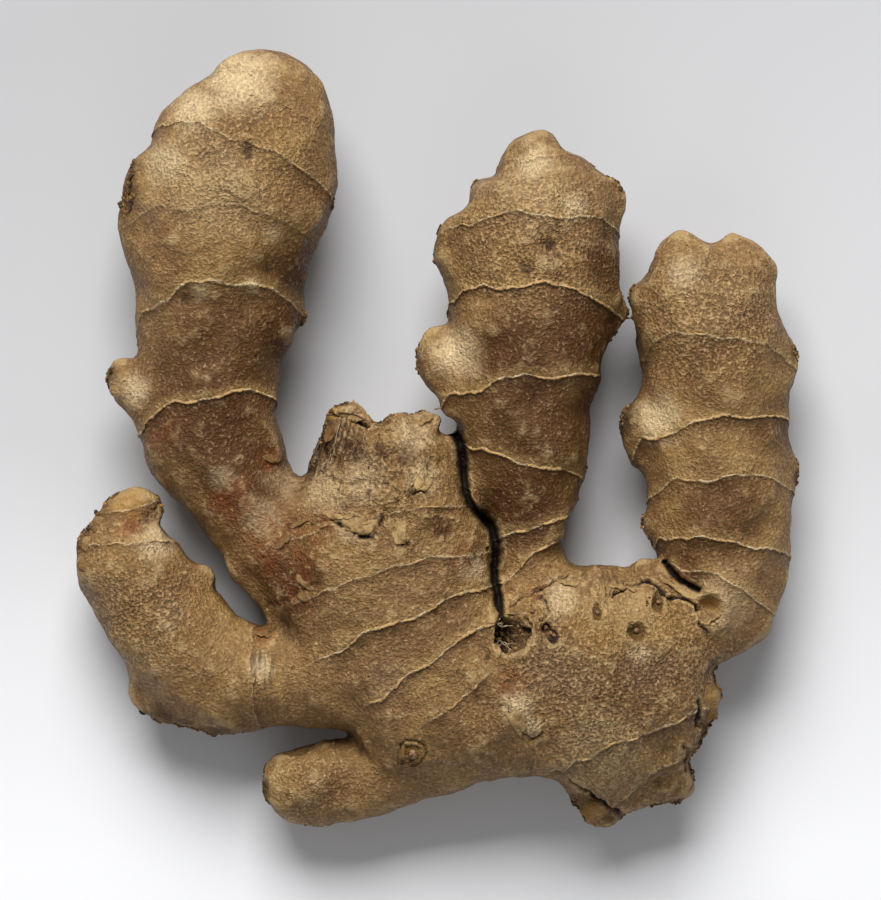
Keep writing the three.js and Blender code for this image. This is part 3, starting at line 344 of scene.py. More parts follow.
# Stains, worn places and spots of painted shade and painted highlight, each a list of [x, y, z, radius] and,
# where it is a weak one, its share.
STAINS_AND_PAINTED_LIGHT = {
    "red": [
        [-26.5, -17.5, 22, 6.5], [-33.6, -10.6, 21, 4.2], [-27, -3.4, 19, 3], [-22, -16, 26, 4.2],
        [-23, -25.2, 25, 3.6], [-29.3, -32.3, 18, 2.2], [-20.5, -20.5, 27, 3], [-45.5, 1.2, 20, 3.4],
        [12.2, -40.5, 27, 2.8], [-51, -15, 18, 3], [-28, 5.2, 23, 2.2], [10.5, -24, 18, 2.6],
        [16.5, -25, 21, 2.2], [-19, -14.2, 27, 3.2], [40, -21.5, 19, 2.2], [4.5, -19.5, 25, 3],
    ],
    "grey": [
        [-57, -27, 15, 6], [-49.5, -38.5, 18, 6], [18.3, 29.4, 28, 2.4], [-14.5, -15.2, 28, 2.6],
        [-12, -15.8, 28, 2.6], [20.5, -38, 27, 7], [34, -37, 25, 6.5], [-9.5, -5.6, 27, 2.6],
        [8, 42, 20, 3.5], [42, 27, 20, 4], [-44.5, -29.5, 21, 3], [-7.5, -40, 27, 4], [-46, 38, 22, 3.6],
    ],
    # Pale is paler skin in part, and painted highlight and sheen on the tops of the fingers and the stump's
    # torn face.
    "pale": [
        [-37, 41, 30, 10, 0.3], [16, 40, 27, 8, 0.28], [45, 23, 24, 9, 0.12], [27, -51, 25, 9, 0.3],
        [48, -27, 21, 6, 0.4], [-33, 59, 25, 7.5], [-40, 54, 24, 5], [-44, 45, 23, 4.6],
        [-27, 33.4, 27, 2.2, 0.5], [-50, 8, 17, 3.4], [3, 14, 22, 5], [36.5, 3, 20, 4.5],
        [-29.3, -38, 20, 2.8], [-46.6, -17, 19, 4.4], [13, -44, 27, 3.4], [15.4, -47.4, 26, 2.2, 0.9],
        [16, 45, 22, 3.8], [22, 38, 24, 3], [41, 27, 18, 3.6], [20.5, -26.5, 24, 4.2],
        [27, -27, 26, 6, 0.5], [33, -29, 26, 6, 0.5], [-15.6, 4.6, 22, 2.2], [-4, 0.5, 22, 4.4, 0.75],
        [-2.4, -6.4, 26, 3.4, 0.6], [6, -21, 25, 3], [-18.6, -8.4, 25, 5, 0.62], [-12.6, -7, 27, 4.4, 0.6],
        [-24.6, -6.4, 24, 4.6, 0.55], [-29.4, -13, 24, 3.8, 0.55], [-35.6, -6.6, 22, 2.6, 0.38],
        [-14.4, -14.8, 27, 2.8, 0.5], [36, -23, 26, 2.6], [33.5, -35, 26, 2.2], [-39, 24.4, 26, 2.2, 0.5],
        [-30.5, 25.2, 25, 1.8, 0.5],
    ],
    # Umber is the skin's own brown, laid on strongly as painted shade over the fingers' lower parts and
    # flanks.
    "umber_and_painted_shade": [
        [-36, 13, 24, 14, 0.85], [-38, 3, 22, 12], [-33, -6, 21, 10], [-25, 17, 20, 8], [-24, 28, 18, 6],
        [24, 17, 21, 10], [16, 2, 24, 13, 0.88], [15, -10, 20, 10], [12.5, 14, 27, 8], [27.5, 28, 19, 6],
        [27, 8, 18, 8], [-25, -24, 22, 7], [47, -13, 20, 9, 0.8], [56, 3, 15, 7, 0.65],
        [41.5, -21.5, 17, 4], [-52, -27, 17, 6, 0.25], [3, -30, 24, 5, 0.35], [-9.4, -2.2, 27, 1.8, 0.8],
        [-6, -2.8, 27, 2, 0.8], [-13.6, -2.2, 26, 2.4], [-19.4, -0.4, 18, 4.2], [-21, -4.6, 17, 3.4],
        [-17.4, 1.8, 20, 2.6], [-15.4, -1.6, 24, 2, 0.7], [0.6, -15, 26, 2.2], [4, -2.6, 20, 2.6],
        [31, -41, 25, 11, 0.4], [-30, -44, 17, 6, 0.25], [-17, -58, 14, 5, 0.4], [-38, -38, 19, 5, 0.2],
        [47, 9, 23, 9, 0.3], [37.5, -41, 21, 5, 0.2],
    ],
    # Dark dried buds, and painted shade on the stump's torn face and flank and in the upper side of the cup
    # scar.
    "dark_buds_and_painted_shade": [
        [-19.2, 0.4, 19, 3.6], [-20.8, -3.4, 17, 3], [-17.4, 2.8, 20, 2], [-14.6, -1.4, 24, 2.4, 0.6],
        [-8.6, -2, 25, 2.2, 0.55], [-5, -2.6, 25, 2.2, 0.5], [44.5, -26.6, 20, 1.3, 0.8],
        [30.8, 3.2, 15, 2.8], [-3.2, 13.6, 17, 1.6, 0.8], [-54.4, 10.6, 15, 1.6, 0.8],
        [6.4, 41.4, 16, 1.3, 0.8],
    ],
    "crust": [
        [-51.6, 44.4, 18, 3.2], [-51.6, 39.6, 18, 3.9], [-54, 10, 14, 2.2], [-55.4, -13.2, 14, 2.4],
        [-58.6, -16.4, 13, 2.6], [-59.6, -20, 12, 2.2], [-47.9, -11.8, 14, 1.8], [-44.5, -46.5, 8, 5],
        [-36.5, -49.5, 8, 5], [-30, -49.4, 7, 3], [-30, -58.5, 11, 3], [45.4, -42, 13, 2.6],
        [43.4, -46.5, 14, 3], [42.8, -50.5, 12, 3.2], [24.5, -61, 11, 3.4], [28.5, -62.5, 10, 3],
        [38.5, -59.5, 9, 3.2], [42.5, -55.5, 10, 2.6], [-4.3, -52, 21, 2.4], [12, -32.6, 22, 3.2],
        [-17, 5, 19, 1.6], [-8, 2.5, 16, 2.2], [31.2, 2.4, 13, 1.8], [31.2, 5, 13, 1.6],
        [34.2, -14, 13, 1.6], [31.4, 24.4, 13, 1.4], [-0.6, 13, 15, 1.8], [6, 42, 15, 1.4],
        [27.6, 40.6, 16, 1.6], [60, 14.5, 13, 1.8], [60.5, -6.4, 12, 1.8], [-16.4, 38.6, 16, 1.4],
        [-21.6, 19.8, 13, 1.6],
    ],
    "ochre": [
        [27, -29, 25, 7, 0.4], [34, -30, 24, 6, 0.4], [-51.6, -10.6, 16, 3.4, 0.45], [45, -27.9, 22, 1.7],
        [-4.3, -52, 21, 2.2], [44.6, -43, 16, 2.4], [44.8, -46, 14, 1.8], [26, -62, 12, 2.6],
        [-17.4, 4.6, 20, 2], [-22.5, 16.5, 17, 2],
    ],
    "coarse": [
        [24, -38, 26, 15, 0.85], [38, -36, 22, 11, 0.85], [28, -52, 24, 8, 0.4], [45, 20, 24, 13, 0.8],
        [16, 32, 27, 14, 0.8], [-33, 46, 28, 13, 0.6], [-48, -28, 19, 10, 0.7], [-8, -6, 26, 10, 0.5],
        [-22, -58, 16, 7, 0.5],
    ],
    "ribbed": [[26, -23.2, 25, 4.5], [30, -22.6, 25, 4], [-29, -38, 20, 4]],
}

VOXEL = 0.66 * MM
FACET_SMOOTHING = 10
FACES_KEPT = 0.62
CORE_HEIGHT = 14.0  # in mm, near enough for every lobe to find the nearest place of its core
CAP_SHARE = 0.62  # how far a stem's round end goes past its last station, as a share of its thinner half
FRACTAL = (0.9, 2.1)  # how weak the finer waves of a noise are, and how many times finer each is
LOBES_APART = 37.0  # set between the lobes' own places, so that no two have the same wrinkles
OWN_LOBE = (0.5, 4.0)  # where a place turns from the seam of two lobes to one of them
OLD_SEAM = (3.0, 0.5)  # and from younger skin to the old skin between two lobes
# A ring's lip, with a furrow on its root side and a worn band round it. Widths are in mm.
LIP = {"height": 0.16, "tip_side": 0.4, "root_side": 0.3, "even": 0.8, "broken": 0.5, "sheathed": 0.65,
       "furrow": 0.4, "furrow_at": -0.5, "furrow_width": 0.35, "worn": 0.22, "worn_at": 0.2,
       "worn_width": 1.1}
# Which vertices are drawn onto a ring's line, and how far, and round which ones faces are halved.
DRAWN = {"within": 0.16, "strength": 0.15, "share": 0.9}
FINER = {"within": 0.42, "strength": 0.3, "above": 9, "upward": -0.1}
WANDER = {"slow": 0.6, "quick": 0.16}  # in mm, the same waves as in the part's own rings
RING_RAGGED = 0.2  # in mm, finer ones added to them
# Shares of a normal, upward for the first two and sideways for the last, between which a place changes over.
FACING_DOWN = (-0.4, 0.0)
FACING_UP = (-0.1, 0.3)
ON_THE_SIDE = (0.25, 0.75)
WEIGHT_STEPS = 4  # steps in which the weight of the thinning grows towards the underside
# Heights in mm of the wrinkles across a stem, of those that run any way, and of the slow undulations.
STEM_WRINKLE, SKIN_WRINKLE, UNDULATION = 0.12, 0.13, 0.34
YOUNG_SHARE, OLD_SHARE = 0.8, 0.6  # of the wrinkles' height: everywhere, and more where the skin is old
# How close wrinkles stand sideways, upwards and along a stem, and in x, y and z where stems merge.
ON_STEM, ON_SEAM = [0.5, 0.5, 1.0], [0.6, 0.9, 0.7]
# How much a distance in x, y and z counts from the middle of a knot, and of a stain.
KNOT_REACH = [1.0, 1.0, 0.5]
STAIN_REACH = [1.0, 1.0, 0.45]
USUAL_SOFTNESS = 0.45
FADED_AT = 1.2  # in radii of the stain
PIT_RIM = {"at": 1.3, "width": 0.35}  # in radii of the pit
CRACK_ENDS = (-0.05, 0.12)  # shares of a crack's length over which it opens from either end
RAGGED = 0.4  # how far, in mm, the outlines of pits, cracks and folds stray
DEEP_CRACK_RAGGED = 0.4
# Fine folds that run out like rays from the sunken spot of the middle finger.
DIMPLE = {"at": (18.3, 31.7, 28.0), "full": 4, "reach": 7.5, "height": 0.09, "rays": 9, "above": 20}
# Places that get faces of half the size, for their finer forms: [x, y, radius].
CLOSE_WORK = [
    [-12, -3, 10], [-4, -9, 8], [11, -30, 4.6], [20, -28, 5.5], [31, -27.5, 7], [41.5, -26, 5.6],
    [-4.3, -52, 3.2], [13.5, -47, 4], [6, -9, 4.4], [9.4, -19, 3.6], [-52.5, 42, 4.6], [43, -47, 4],
    [26, -61, 3.6],
]
# Strands of torn flesh on the left flank of the stump.
STRIPS = {"at": (-18.0, -1.0, 20.0), "full": 4.0, "reach": 8.0, "lean": (0.36, 0.93), "depth": 0.32,
          "per_mm": 3.9, "bend": 0.25, "waver": 1.6}
# The torn face of the stump, dried to a crumpled skin.
CRUMPLE = {"at": (-9.5, -4.5, 24.0), "reach": (12.0, 11.0, 12.0), "fading": (0.6, 1.05), "per_mm": 0.34,
           "depth": 0.4, "sharpness": 2.4}


def stem_coordinates(points, stations):
    """For each point: distance past the stem's skin, and its places across, up and along it, core z, size."""
    stations = np.array(stations)
    starts, ends = stations[:-1], stations[1:]
    begun = np.concatenate([[0], np.cumsum(np.linalg.norm(ends[:, :3] - starts[:, :3], axis=1))])
    best = np.full(len(points), 1e9)
    found = np.zeros((len(points), 5))
    for i, (start, end) in enumerate(zip(starts, ends)):
        axis = end[:3] - start[:3]
        length = np.linalg.norm(axis)
        axis = axis / length
        side = np.array([axis[1], -axis[0], 0]) / math.hypot(axis[0], axis[1])
        rise = np.cross(side, axis)
        offset = points - start[:3]
        along = np.clip(offset @ axis, 0, length)
        share = along / length
        size = start[3:] + (end[3:] - start[3:]) * share[:, None]
        a, b, c = offset @ side, offset @ rise, offset @ axis - along
        cap = size.min(1) * CAP_SHARE
        ratio = np.sqrt((a / size[:, 0]) ** 2 + (b / size[:, 1]) ** 2 + (c / cap) ** 2)
        distance = (ratio - 1) * size.mean(1)
        nearer = distance < best
        best = np.where(nearer, distance, best)
        core = start[2] + (end[2] - start[2]) * share
        here = np.stack([a, b, begun[i] + offset @ axis, core, size[:, 1]], 1)
        found = np.where(nearer[:, None], here, found)
    return best, found


def ring_planes(name):
    """Each ring of a lobe: its plane's normal, middle and level direction, its half span and two shares."""
    planes = []
    for lx, ly, rx, ry, bow, share, sheath in RINGS[name]:
        middle = np.array([(lx + rx) / 2, (ly + ry) / 2, CORE_HEIGHT])
        nearest = stem_coordinates(middle[None], LOBES[name])[1][0]
        middle[2] = nearest[3]
        span = math.hypot(rx - lx, ry - ly)
        normal = np.array([ly - ry, rx - lx, 0]) / span
        across = np.array([normal[1], -normal[0], 0])
        normal[2] = -bow / nearest[4]
        planes.append((normal / np.linalg.norm(normal), middle, across, span / 2, share, sheath))
    return planes


def wander(points):
    """How far the rings stray out of their planes, towards the tip."""
    x, y, z = points.T
    slow = np.sin(x * 0.42 + z * 0.31 + 0.7) * np.cos(y * 0.23 - z * 0.2)
    return WANDER["slow"] * slow + WANDER["quick"] * np.sin(x * 1.15 - y * 0.6 + z * 0.9)


def wavy(points, per_mm, octaves=2, seed=0.0):
    """Smooth noise from about -1 to 1 at each point, with its size as waves a millimetre."""
    shift = Vector((seed, seed * 1.7, -seed))
    return np.array([noise.fractal(Vector(p) * per_mm + shift, *FRACTAL, octaves) for p in points.tolist()])


def ease(value, low, high):
    """0 below low, 1 above high, and a smooth step between."""
    share = np.clip((value - low) / (high - low), 0, 1)
    return share * share * (3 - 2 * share)


def bell(distance, width):
    """1 where the distance is nothing, and smoothly less on either side."""
    return np.exp(-((distance / width) ** 2))


def from_spot(points, spot, reach=1.0):
    """How far each point is from a spot, with each direction's distance scaled first."""
    return np.linalg.norm((points - spot) * reach, axis=1)


def distance_to_line(points, line):
    """Distance in plan from each point to a line rounded off between the places, and how far along it is."""
    for _ in range(2):
        pairs = list(zip(line[:-1], line[1:]))
        cuts = [(a[0] + (b[0] - a[0]) * t, a[1] + (b[1] - a[1]) * t) for a, b in pairs for t in (0.25, 0.75)]
        line = [line[0], *cuts, line[-1]]
    best = np.full(len(points), 1e9)
    run = np.zeros(len(points))
    for i, (start, end) in enumerate(zip(line[:-1], line[1:])):
        start, step = np.array(start), np.array(end) - np.array(start)
        share = np.clip((points[:, :2] - start) @ step / (step @ step), 0, 1)
        distance = np.linalg.norm(points[:, :2] - start - share[:, None] * step, axis=1)
        run = np.where(distance < best, (i + share) / (len(line) - 1), run)
        best = np.minimum(best, distance)
    return best, run


def smoothed(values, edges, degree, rounds):
    """Values on the vertices after so many rounds of averaging with their neighbours."""
    for _ in range(rounds):
        total = np.zeros_like(values)
        for k in range(values.shape[1]):
            total[:, k] = np.bincount(edges[:, 0], values[edges[:, 1], k], len(values))
            total[:, k] += np.bincount(edges[:, 1], values[edges[:, 0], k], len(values))
        values = 0.4 * values + 0.6 * total / degree[:, None]
    return values


def read_vertices(mesh):
    """Places in mm and normals of a mesh's vertices."""
    places = np.zeros(len(mesh.vertices) * 3)
    mesh.vertices.foreach_get("co", places)
    outward = np.zeros(len(mesh.vertices) * 3)
    mesh.vertex_normals.foreach_get("vector", outward)
    return places.reshape(-1, 3) / MM, outward.reshape(-1, 3)


def keep(mesh, name, values):
    """Stores one number or vector a vertex for the material."""
    kind, field = ("FLOAT_VECTOR", "vector") if values.ndim == 2 else ("FLOAT", "value")
    mesh.attributes.new(name, kind, "POINT").data.foreach_set(field, values.astype(np.float32).ravel())


def settled(piece):
    """The piece's mesh with its modifiers worked into it."""
    made = bpy.data.meshes.new_from_object(piece.evaluated_get(bpy.context.evaluated_depsgraph_get()))
    piece.modifiers.clear()
    piece.data = made
    return made


skin = bpy.data.objects.new("ginger_skin", bpy.data.meshes.new("ginger_skin"))
scene.collection.objects.link(skin)
whole = bmesh.new()
whole.from_mesh(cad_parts["rhizome"].data)
bmesh.ops.remove_doubles(whole, verts=whole.verts, dist=0.001 * MM)
whole.to_mesh(skin.data)
whole.free()
remesh = skin.modifiers.new("even_faces", "REMESH")
remesh.mode = "VOXEL"
remesh.voxel_size = VOXEL
rounding = skin.modifiers.new("no_facets", "SMOOTH")
rounding.factor = 0.5
rounding.iterations = FACET_SMOOTHING
even = settled(skin)

# The underside, which lies on the table, keeps far fewer faces than the upper side.
lowered = 1 - ease(read_vertices(even)[1][:, 2], *FACING_DOWN)
under = skin.vertex_groups.new(name="underside")
for step in range(1, WEIGHT_STEPS + 1):
    weight = step / WEIGHT_STEPS
    members = np.nonzero(np.abs(lowered - weight) <= 0.5 / WEIGHT_STEPS)[0]
    under.add(members.tolist(), weight, "REPLACE")
thinning = skin.modifiers.new("thinner_underside", "DECIMATE")
thinning.ratio = FACES_KEPT
thinning.vertex_group = "underside"
hide = settled(skin)
skin.vertex_groups.clear()
hide.name = "ginger_skin"


def find_rings(points, stray, order, away):
    """For each point: distance past its nearest ring, and the ring's height, sheath, number and normal."""
    past = np.full(len(points), 99.0)
    strength, sheathed = np.zeros(len(points)), np.zeros(len(points))
    ring_of = np.full(len(points), -1)
    towards = np.zeros((len(points), 3))
    number = 0
    for name, (distance, _) in away.items():
        nearness = np.clip(1 - (distance - order[:, 0]) / RING_FADE, 0, 1)
        for normal, middle, across, half_span, share, sheath in ring_planes(name):
            gone = (points - middle) @ normal + stray
            beyond = np.abs((points - middle) @ across) - half_span
            height = share * nearness * np.clip(1 - beyond / RING_RUNOUT, 0, 1)
            better = (height > RING_FAINTEST) & (np.abs(gone) < np.minimum(np.abs(past), RING_REACH))
            past = np.where(better, gone, past)
            strength = np.where(better, height, strength)
            sheathed = np.where(better, sheath * height / share, sheathed)
            ring_of = np.where(better, number, ring_of)
            towards = np.where(better[:, None], normal, towards)
            number += 1
    return past, strength, sheathed, ring_of, towards


def lobe_distances(points):
    """The coordinates of the points in every lobe, and their distances to the lobes from the nearest on."""
    away = {name: stem_coordinates(points, stations) for name, stations in LOBES.items()}
    distances = np.stack([distance for distance, _ in away.values()], 1)
    return away, distances, np.sort(distances, 1)


# Faces are halved along the rings and in the places of close work.
points, normals = read_vertices(hide)
away, distances, order = lobe_distances(points)
past, strength, _, _, _ = find_rings(points, wander(points), order, away)
close = (np.abs(past) < FINER["within"]) & (strength > FINER["strength"])
for x, y, radius in CLOSE_WORK:
    close |= (np.hypot(points[:, 0] - x, points[:, 1] - y) < radius) & (points[:, 2] > FINER["above"])
close &= normals[:, 2] > FINER["upward"]
finer = bmesh.new()
finer.from_mesh(hide)
finer.verts.ensure_lookup_table()
chosen = {edge for v in np.nonzero(close)[0].tolist() for edge in finer.verts[v].link_edges}
chosen = sorted(chosen, key=lambda edge: edge.index)
bmesh.ops.subdivide_edges(finer, edges=chosen, cuts=1, use_grid_fill=True)
bmesh.ops.triangulate(finer, faces=[face for face in finer.faces if len(face.verts) > 4])
finer.to_mesh(hide)
finer.free()

points, normals = read_vertices(hide)
edges = np.zeros(len(hide.edges) * 2, int)
hide.edges.foreach_get("vertices", edges)
edges = edges.reshape(-1, 2)
degree = np.bincount(edges.ravel(), minlength=len(points)).astype(float)
away, distances, order = lobe_distances(points)
nearest = distances.argmin(1)
stems = np.stack([found[:, :3] for _, found in away.values()], 1)[np.arange(len(points)), nearest]
stems += nearest[:, None] * LOBES_APART
own = ease(order[:, 1] - order[:, 0], *OWN_LOBE)

# The rings: vertices near a ring's line are drawn onto it, so that its lip has a clean edge.
stray = wander(points) + RING_RAGGED * wavy(points, 0.5, 3, 3.0)
past, strength, sheathed, ring_of, towards = find_rings(points, stray, order, away)
rings = [plane for name in LOBES for plane in ring_planes(name)]
level = towards - (towards * normals).sum(1)[:, None] * normals
steep = np.maximum((level * level).sum(1), 0.05)
drawn = (np.abs(past) < DRAWN["within"]) & (strength > DRAWN["strength"])
points -= np.where(drawn, past / steep, 0)[:, None] * level * DRAWN["share"]
past = np.where(drawn, past * (1 - DRAWN["share"]), past)

# Relief, in mm along the normals: lips and furrows, dried wrinkles across the stems, soft dents.
broken = LIP["even"] + LIP["broken"] * wavy(points, 0.5, 3, 11.0)
lip = np.where(past > 0, np.exp(-past / LIP["tip_side"]), bell(past, LIP["root_side"]))
lip -= LIP["furrow"] * bell(past - LIP["furrow_at"], LIP["furrow_width"])
marked = (1 - LIP["sheathed"]) * strength + LIP["sheathed"] * sheathed
relief = LIP["height"] * marked * broken * lip
relief -= LIP["worn"] * strength * np.exp(-np.abs(past - LIP["worn_at"]) / LIP["worn_width"])
across_stems = np.where(own[:, None] > 0.5, stems * ON_STEM, points * ON_SEAM)
old = ease(distances[:, 1:3].min(1) - order[:, 0], *OLD_SEAM)
wrinkles = STEM_WRINKLE * wavy(across_stems, 0.5, 3, 5.0) + SKIN_WRINKLE * wavy(points, 0.7, 4, 9.0)
relief += wrinkles * (YOUNG_SHARE + OLD_SHARE * old) + UNDULATION * wavy(points, 0.15, 2, 21.0)
for x, y, z, radius, height in KNOTS:
    relief += height * bell(from_spot(points, [x, y, z], KNOT_REACH), radius)
steep_side = ease(1 - np.abs(normals[:, 2]), *ON_THE_SIDE)
for x, y, radius, height in FLANKS:
    relief += height * steep_side * bell(np.hypot(points[:, 0] - x, points[:, 1] - y), radius)
upper = ease(normals[:, 2], *FACING_UP)
strays = [wavy(points, 0.8, 3, 31.0), wavy(points, 0.8, 3, 41.0), np.zeros(len(points))]
ragged = points + RAGGED * np.stack(strays, 1)

folded = ragged - DIMPLE["at"]
turned = np.arctan2(folded[:, 1], folded[:, 0])
spread = np.hypot(folded[:, 0], folded[:, 1])
folds = np.sin(turned * DIMPLE["rays"] + 1.5 * np.sin(turned * 2)) * ease(spread, 0.8, 2.2)
folds *= (1 - ease(spread, DIMPLE["full"], DIMPLE["reach"])) * (points[:, 2] > DIMPLE["above"])
relief += DIMPLE["height"] * folds

crumpled = 1 - ease(np.linalg.norm((points - CRUMPLE["at"]) / CRUMPLE["reach"], axis=1), *CRUMPLE["fading"])
creased = 1.0 - CRUMPLE["sharpness"] * np.abs(wavy(ragged, CRUMPLE["per_mm"], 3, 61.0))
relief += CRUMPLE["depth"] * creased * crumpled

torn = ragged - STRIPS["at"]
side_on = torn[:, 0] * STRIPS["lean"][1] - torn[:, 1] * STRIPS["lean"][0]
bent = STRIPS["bend"] * torn[:, 1] + STRIPS["waver"] * wavy(points, 0.22, 2, 71.0)
strips = np.abs(np.sin(side_on * STRIPS["per_mm"] + bent))
stripped = 1 - ease(np.linalg.norm(torn, axis=1), STRIPS["full"], STRIPS["reach"])
relief += STRIPS["depth"] * (strips - 0.6) * stripped
# The gaps between the strands, for painted shade in them.
strand_gap_shade = (1 - ease(strips, 0.2, 0.75)) * stripped

# How deep each place lies in a pit, for painted shade in the pits.
pit_painted_shade = np.zeros(len(points))
for x, y, half_width, half_length, depth, rim in PITS:
    reach = np.hypot((ragged[:, 0] - x) / half_width, (ragged[:, 1] - y) / half_length)
    sunk = np.exp(-(reach ** 3)) * upper
    relief += rim * bell(reach - PIT_RIM["at"], PIT_RIM["width"]) * upper - depth * sunk
    pit_painted_shade = np.maximum(pit_painted_shade, sunk * min(depth, 1.0))
# How deep each place lies in a crack, for painted shade in the cracks.
cracked = np.zeros(len(points))
for depth, half_width, *line in CRACKS:
    strayed = points + (ragged - points) * DEEP_CRACK_RAGGED if depth > DEEP_CRACK else ragged
    distance, run = distance_to_line(strayed, line)
    gap = bell(distance, half_width) * ease(np.minimum(run, 1 - run), *CRACK_ENDS) * upper
    if depth > DEEP_CRACK:
        points[:, 2] -= depth * gap
    else:
        relief -= depth * gap
    cracked = np.maximum(cracked, gap * min(depth, 1.2))
points += normals * relief[:, None]

low = np.array(cad_box[0]) / MM
high = np.array(cad_box[1]) / MM
points = np.clip(points, low, high)
hide.vertices.foreach_set("co", (points * MM).ravel())
hide.update()

# What the material needs to know of each place: creases, rings, stains, painted shade and the run of the
# stem.
points, normals = read_vertices(hide)
shown_above = ease(normals[:, 2], -0.45, -0.05)  # the few large faces below show no fine creases
dips = {}
# How far each place lies in a crease or a broad hollow, for painted shade in them and a painted highlight on
# crests.
for name, rounds in {"crease_painted_light": 6, "hollow_painted_shade": 70}.items():
    dips[name] = ((smoothed(points, edges, degree, rounds) - points) * normals).sum(1) * shown_above
turn = np.clip(past, -RING_BAND, RING_BAND) * math.pi / RING_BAND
shown = np.clip(marked, 0, 1)
ring = np.stack([np.sin(turn), np.cos(turn), np.ones(len(points))], 1) * shown[:, None]
# Steep sides clear of the table, for painted shade on the flanks.
flank = ease(1 - np.abs(normals[:, 2]), 0.66, 0.95) * ease(points[:, 2], 2.0, 9.0)
for name, values in {"stem": stems, "own": own, "old": old, "ring": ring, "cracked": cracked, "pit_painted_shade": pit_painted_shade,
                     "strand_gap_shade": strand_gap_shade, "flank": flank, **dips}.items():
    keep(hide, name, values)
fringe = 0.35 * wavy(points, 0.35, 3, 51.0)
for name, spots in STAINS_AND_PAINTED_LIGHT.items():
    mask = np.zeros(len(points))
    for x, y, z, radius, *most in spots:
        reach = from_spot(points, [x, y, z], STAIN_REACH) / radius
        spot = 1 - ease(reach + fringe * FRINGE.get(name, 1.0), SOFTNESS.get(name, USUAL_SOFTNESS), FADED_AT)
        mask = np.maximum(mask, spot * (most[0] if most else 1.0))
    keep(hide, name, mask)
hide.shade_smooth()

ginger, tree, surface = bare_material("dry_corky_ginger_skin")
# Dry cork over wet flesh: matt, tan, pebbled every half millimetre or so, with waxy glints that are partly
# painted. Its crests get a painted highlight, and its grooves, pits and cracks painted shade.
PEBBLES_PER_MM = 1.9
WRINKLES_PER_MM = 1.05
FLECKS_PER_MM = 0.75
STEM_STRETCH = (0.5, 0.5, 1.3)
RIB_STRETCH = (0.95, 0.16, 0.3)
RING_STRAY = 0.45


def product(tree, *factors):
    """The product of its factors. One in brackets is a pattern and the values that it is eased between."""
    result = 1.0
    for factor in factors:
        if isinstance(factor, tuple):
            factor = add(tree, "MapRange", dict(enumerate(factor)), interpolation_type="SMOOTHSTEP")
        result = add(tree, "Math", {0: factor, 1: result}, operation="MULTIPLY")
    return result


def total(tree, terms):
    """The sum of its terms, each a list of factors."""
    result = 0.0
    for factors in terms:
        result = add(tree, "Math", {0: product(tree, *factors), 1: result}, operation="ADD")
    return result


def apart(tree, value, centre):
    """How far a value lies from a centre, on either side."""
    gap = add(tree, "Math", {0: value, 1: centre}, operation="SUBTRACT")
    return add(tree, "Math", {0: gap}, operation="ABSOLUTE")


def tinted(tree, colour, layers):
    """The colour under its layers, each a tint, the most of it that shows, and its masks."""
    for tint, *masks in layers:
        amount = product(tree, *masks)
        colour = add(tree, "Mix", {"Factor": amount, 6: colour, 7: linear(tint)}, 2, data_type="RGBA")
    return colour


def place_in_mm(tree):
    """The place on the piece, in mm."""
    metres = add(tree, "TexCoord", out="Object")
    return add(tree, "VectorMath", {0: metres, 3: 1 / MM}, operation="SCALE")


place = place_in_mm(tree)
known = {n: add(tree, "Attribute", out="Fac", attribute_name=n)
         for n in ("own", "old", "crease_painted_light", "hollow_painted_shade", "cracked", "pit_painted_shade", "strand_gap_shade", "flank", *STAINS_AND_PAINTED_LIGHT)}
stem = add(tree, "Attribute", out="Vector", attribute_name="stem")
along = add(tree, "VectorMath", {0: stem, 1: STEM_STRETCH}, operation="MULTIPLY")
stretched = add(tree, "VectorMath", {0: place, 1: RIB_STRETCH}, operation="MULTIPLY")
# Each pattern is [where it lies, its swellings a millimetre, detail, roughness, distortion].
PATTERNS = {
    "stemwise": (along, WRINKLES_PER_MM, 2.0, 0.5, 0.3), "free": (place, WRINKLES_PER_MM, 2.0, 0.5, 0.5),
    "pebble": (place, PEBBLES_PER_MM, 2.0, 0.55, 0.1), "tone": (place, 0.9, 2.0, 0.5, 0.0),
    "patches": (place, 0.085, 3.0, 0.6, 0.0), "mottle": (place, 0.42, 3.0, 0.5, 0.3),
    "speckle": (place, 3.6, 2.0, 0.6, 0.0), "stray": (place, 1.4, 2.0, 0.55, 0.0),
    "rib": (stretched, 1.0, 1.0, 0.55, 0.0),
}
PATTERN_INPUTS = ("Vector", "Scale", "Detail", "Roughness", "Distortion")
for name, settings in PATTERNS.items():
    known[name] = add(tree, "TexNoise", dict(zip(PATTERN_INPUTS, settings)))
tone, mottle, speckle, rib = [known[name] for name in ("tone", "mottle", "speckle", "rib")]
pebble = product(tree, (known["pebble"], 0.28, 0.72))

# Wrinkles are thin winding grooves: across the stem on a lobe, any way where lobes merge.
any_way, across_it = [product(tree, (apart(tree, known[name], 0.5), 0.0, 0.12, 1.0, 0.0))
                      for name in ("free", "stemwise")]
picked = add(tree, "Mix", {"Factor": known["own"], 2: any_way, 3: across_it})
wrinkle = product(tree, picked, (known["old"], 0.0, 1.0, 0.06, 0.7))

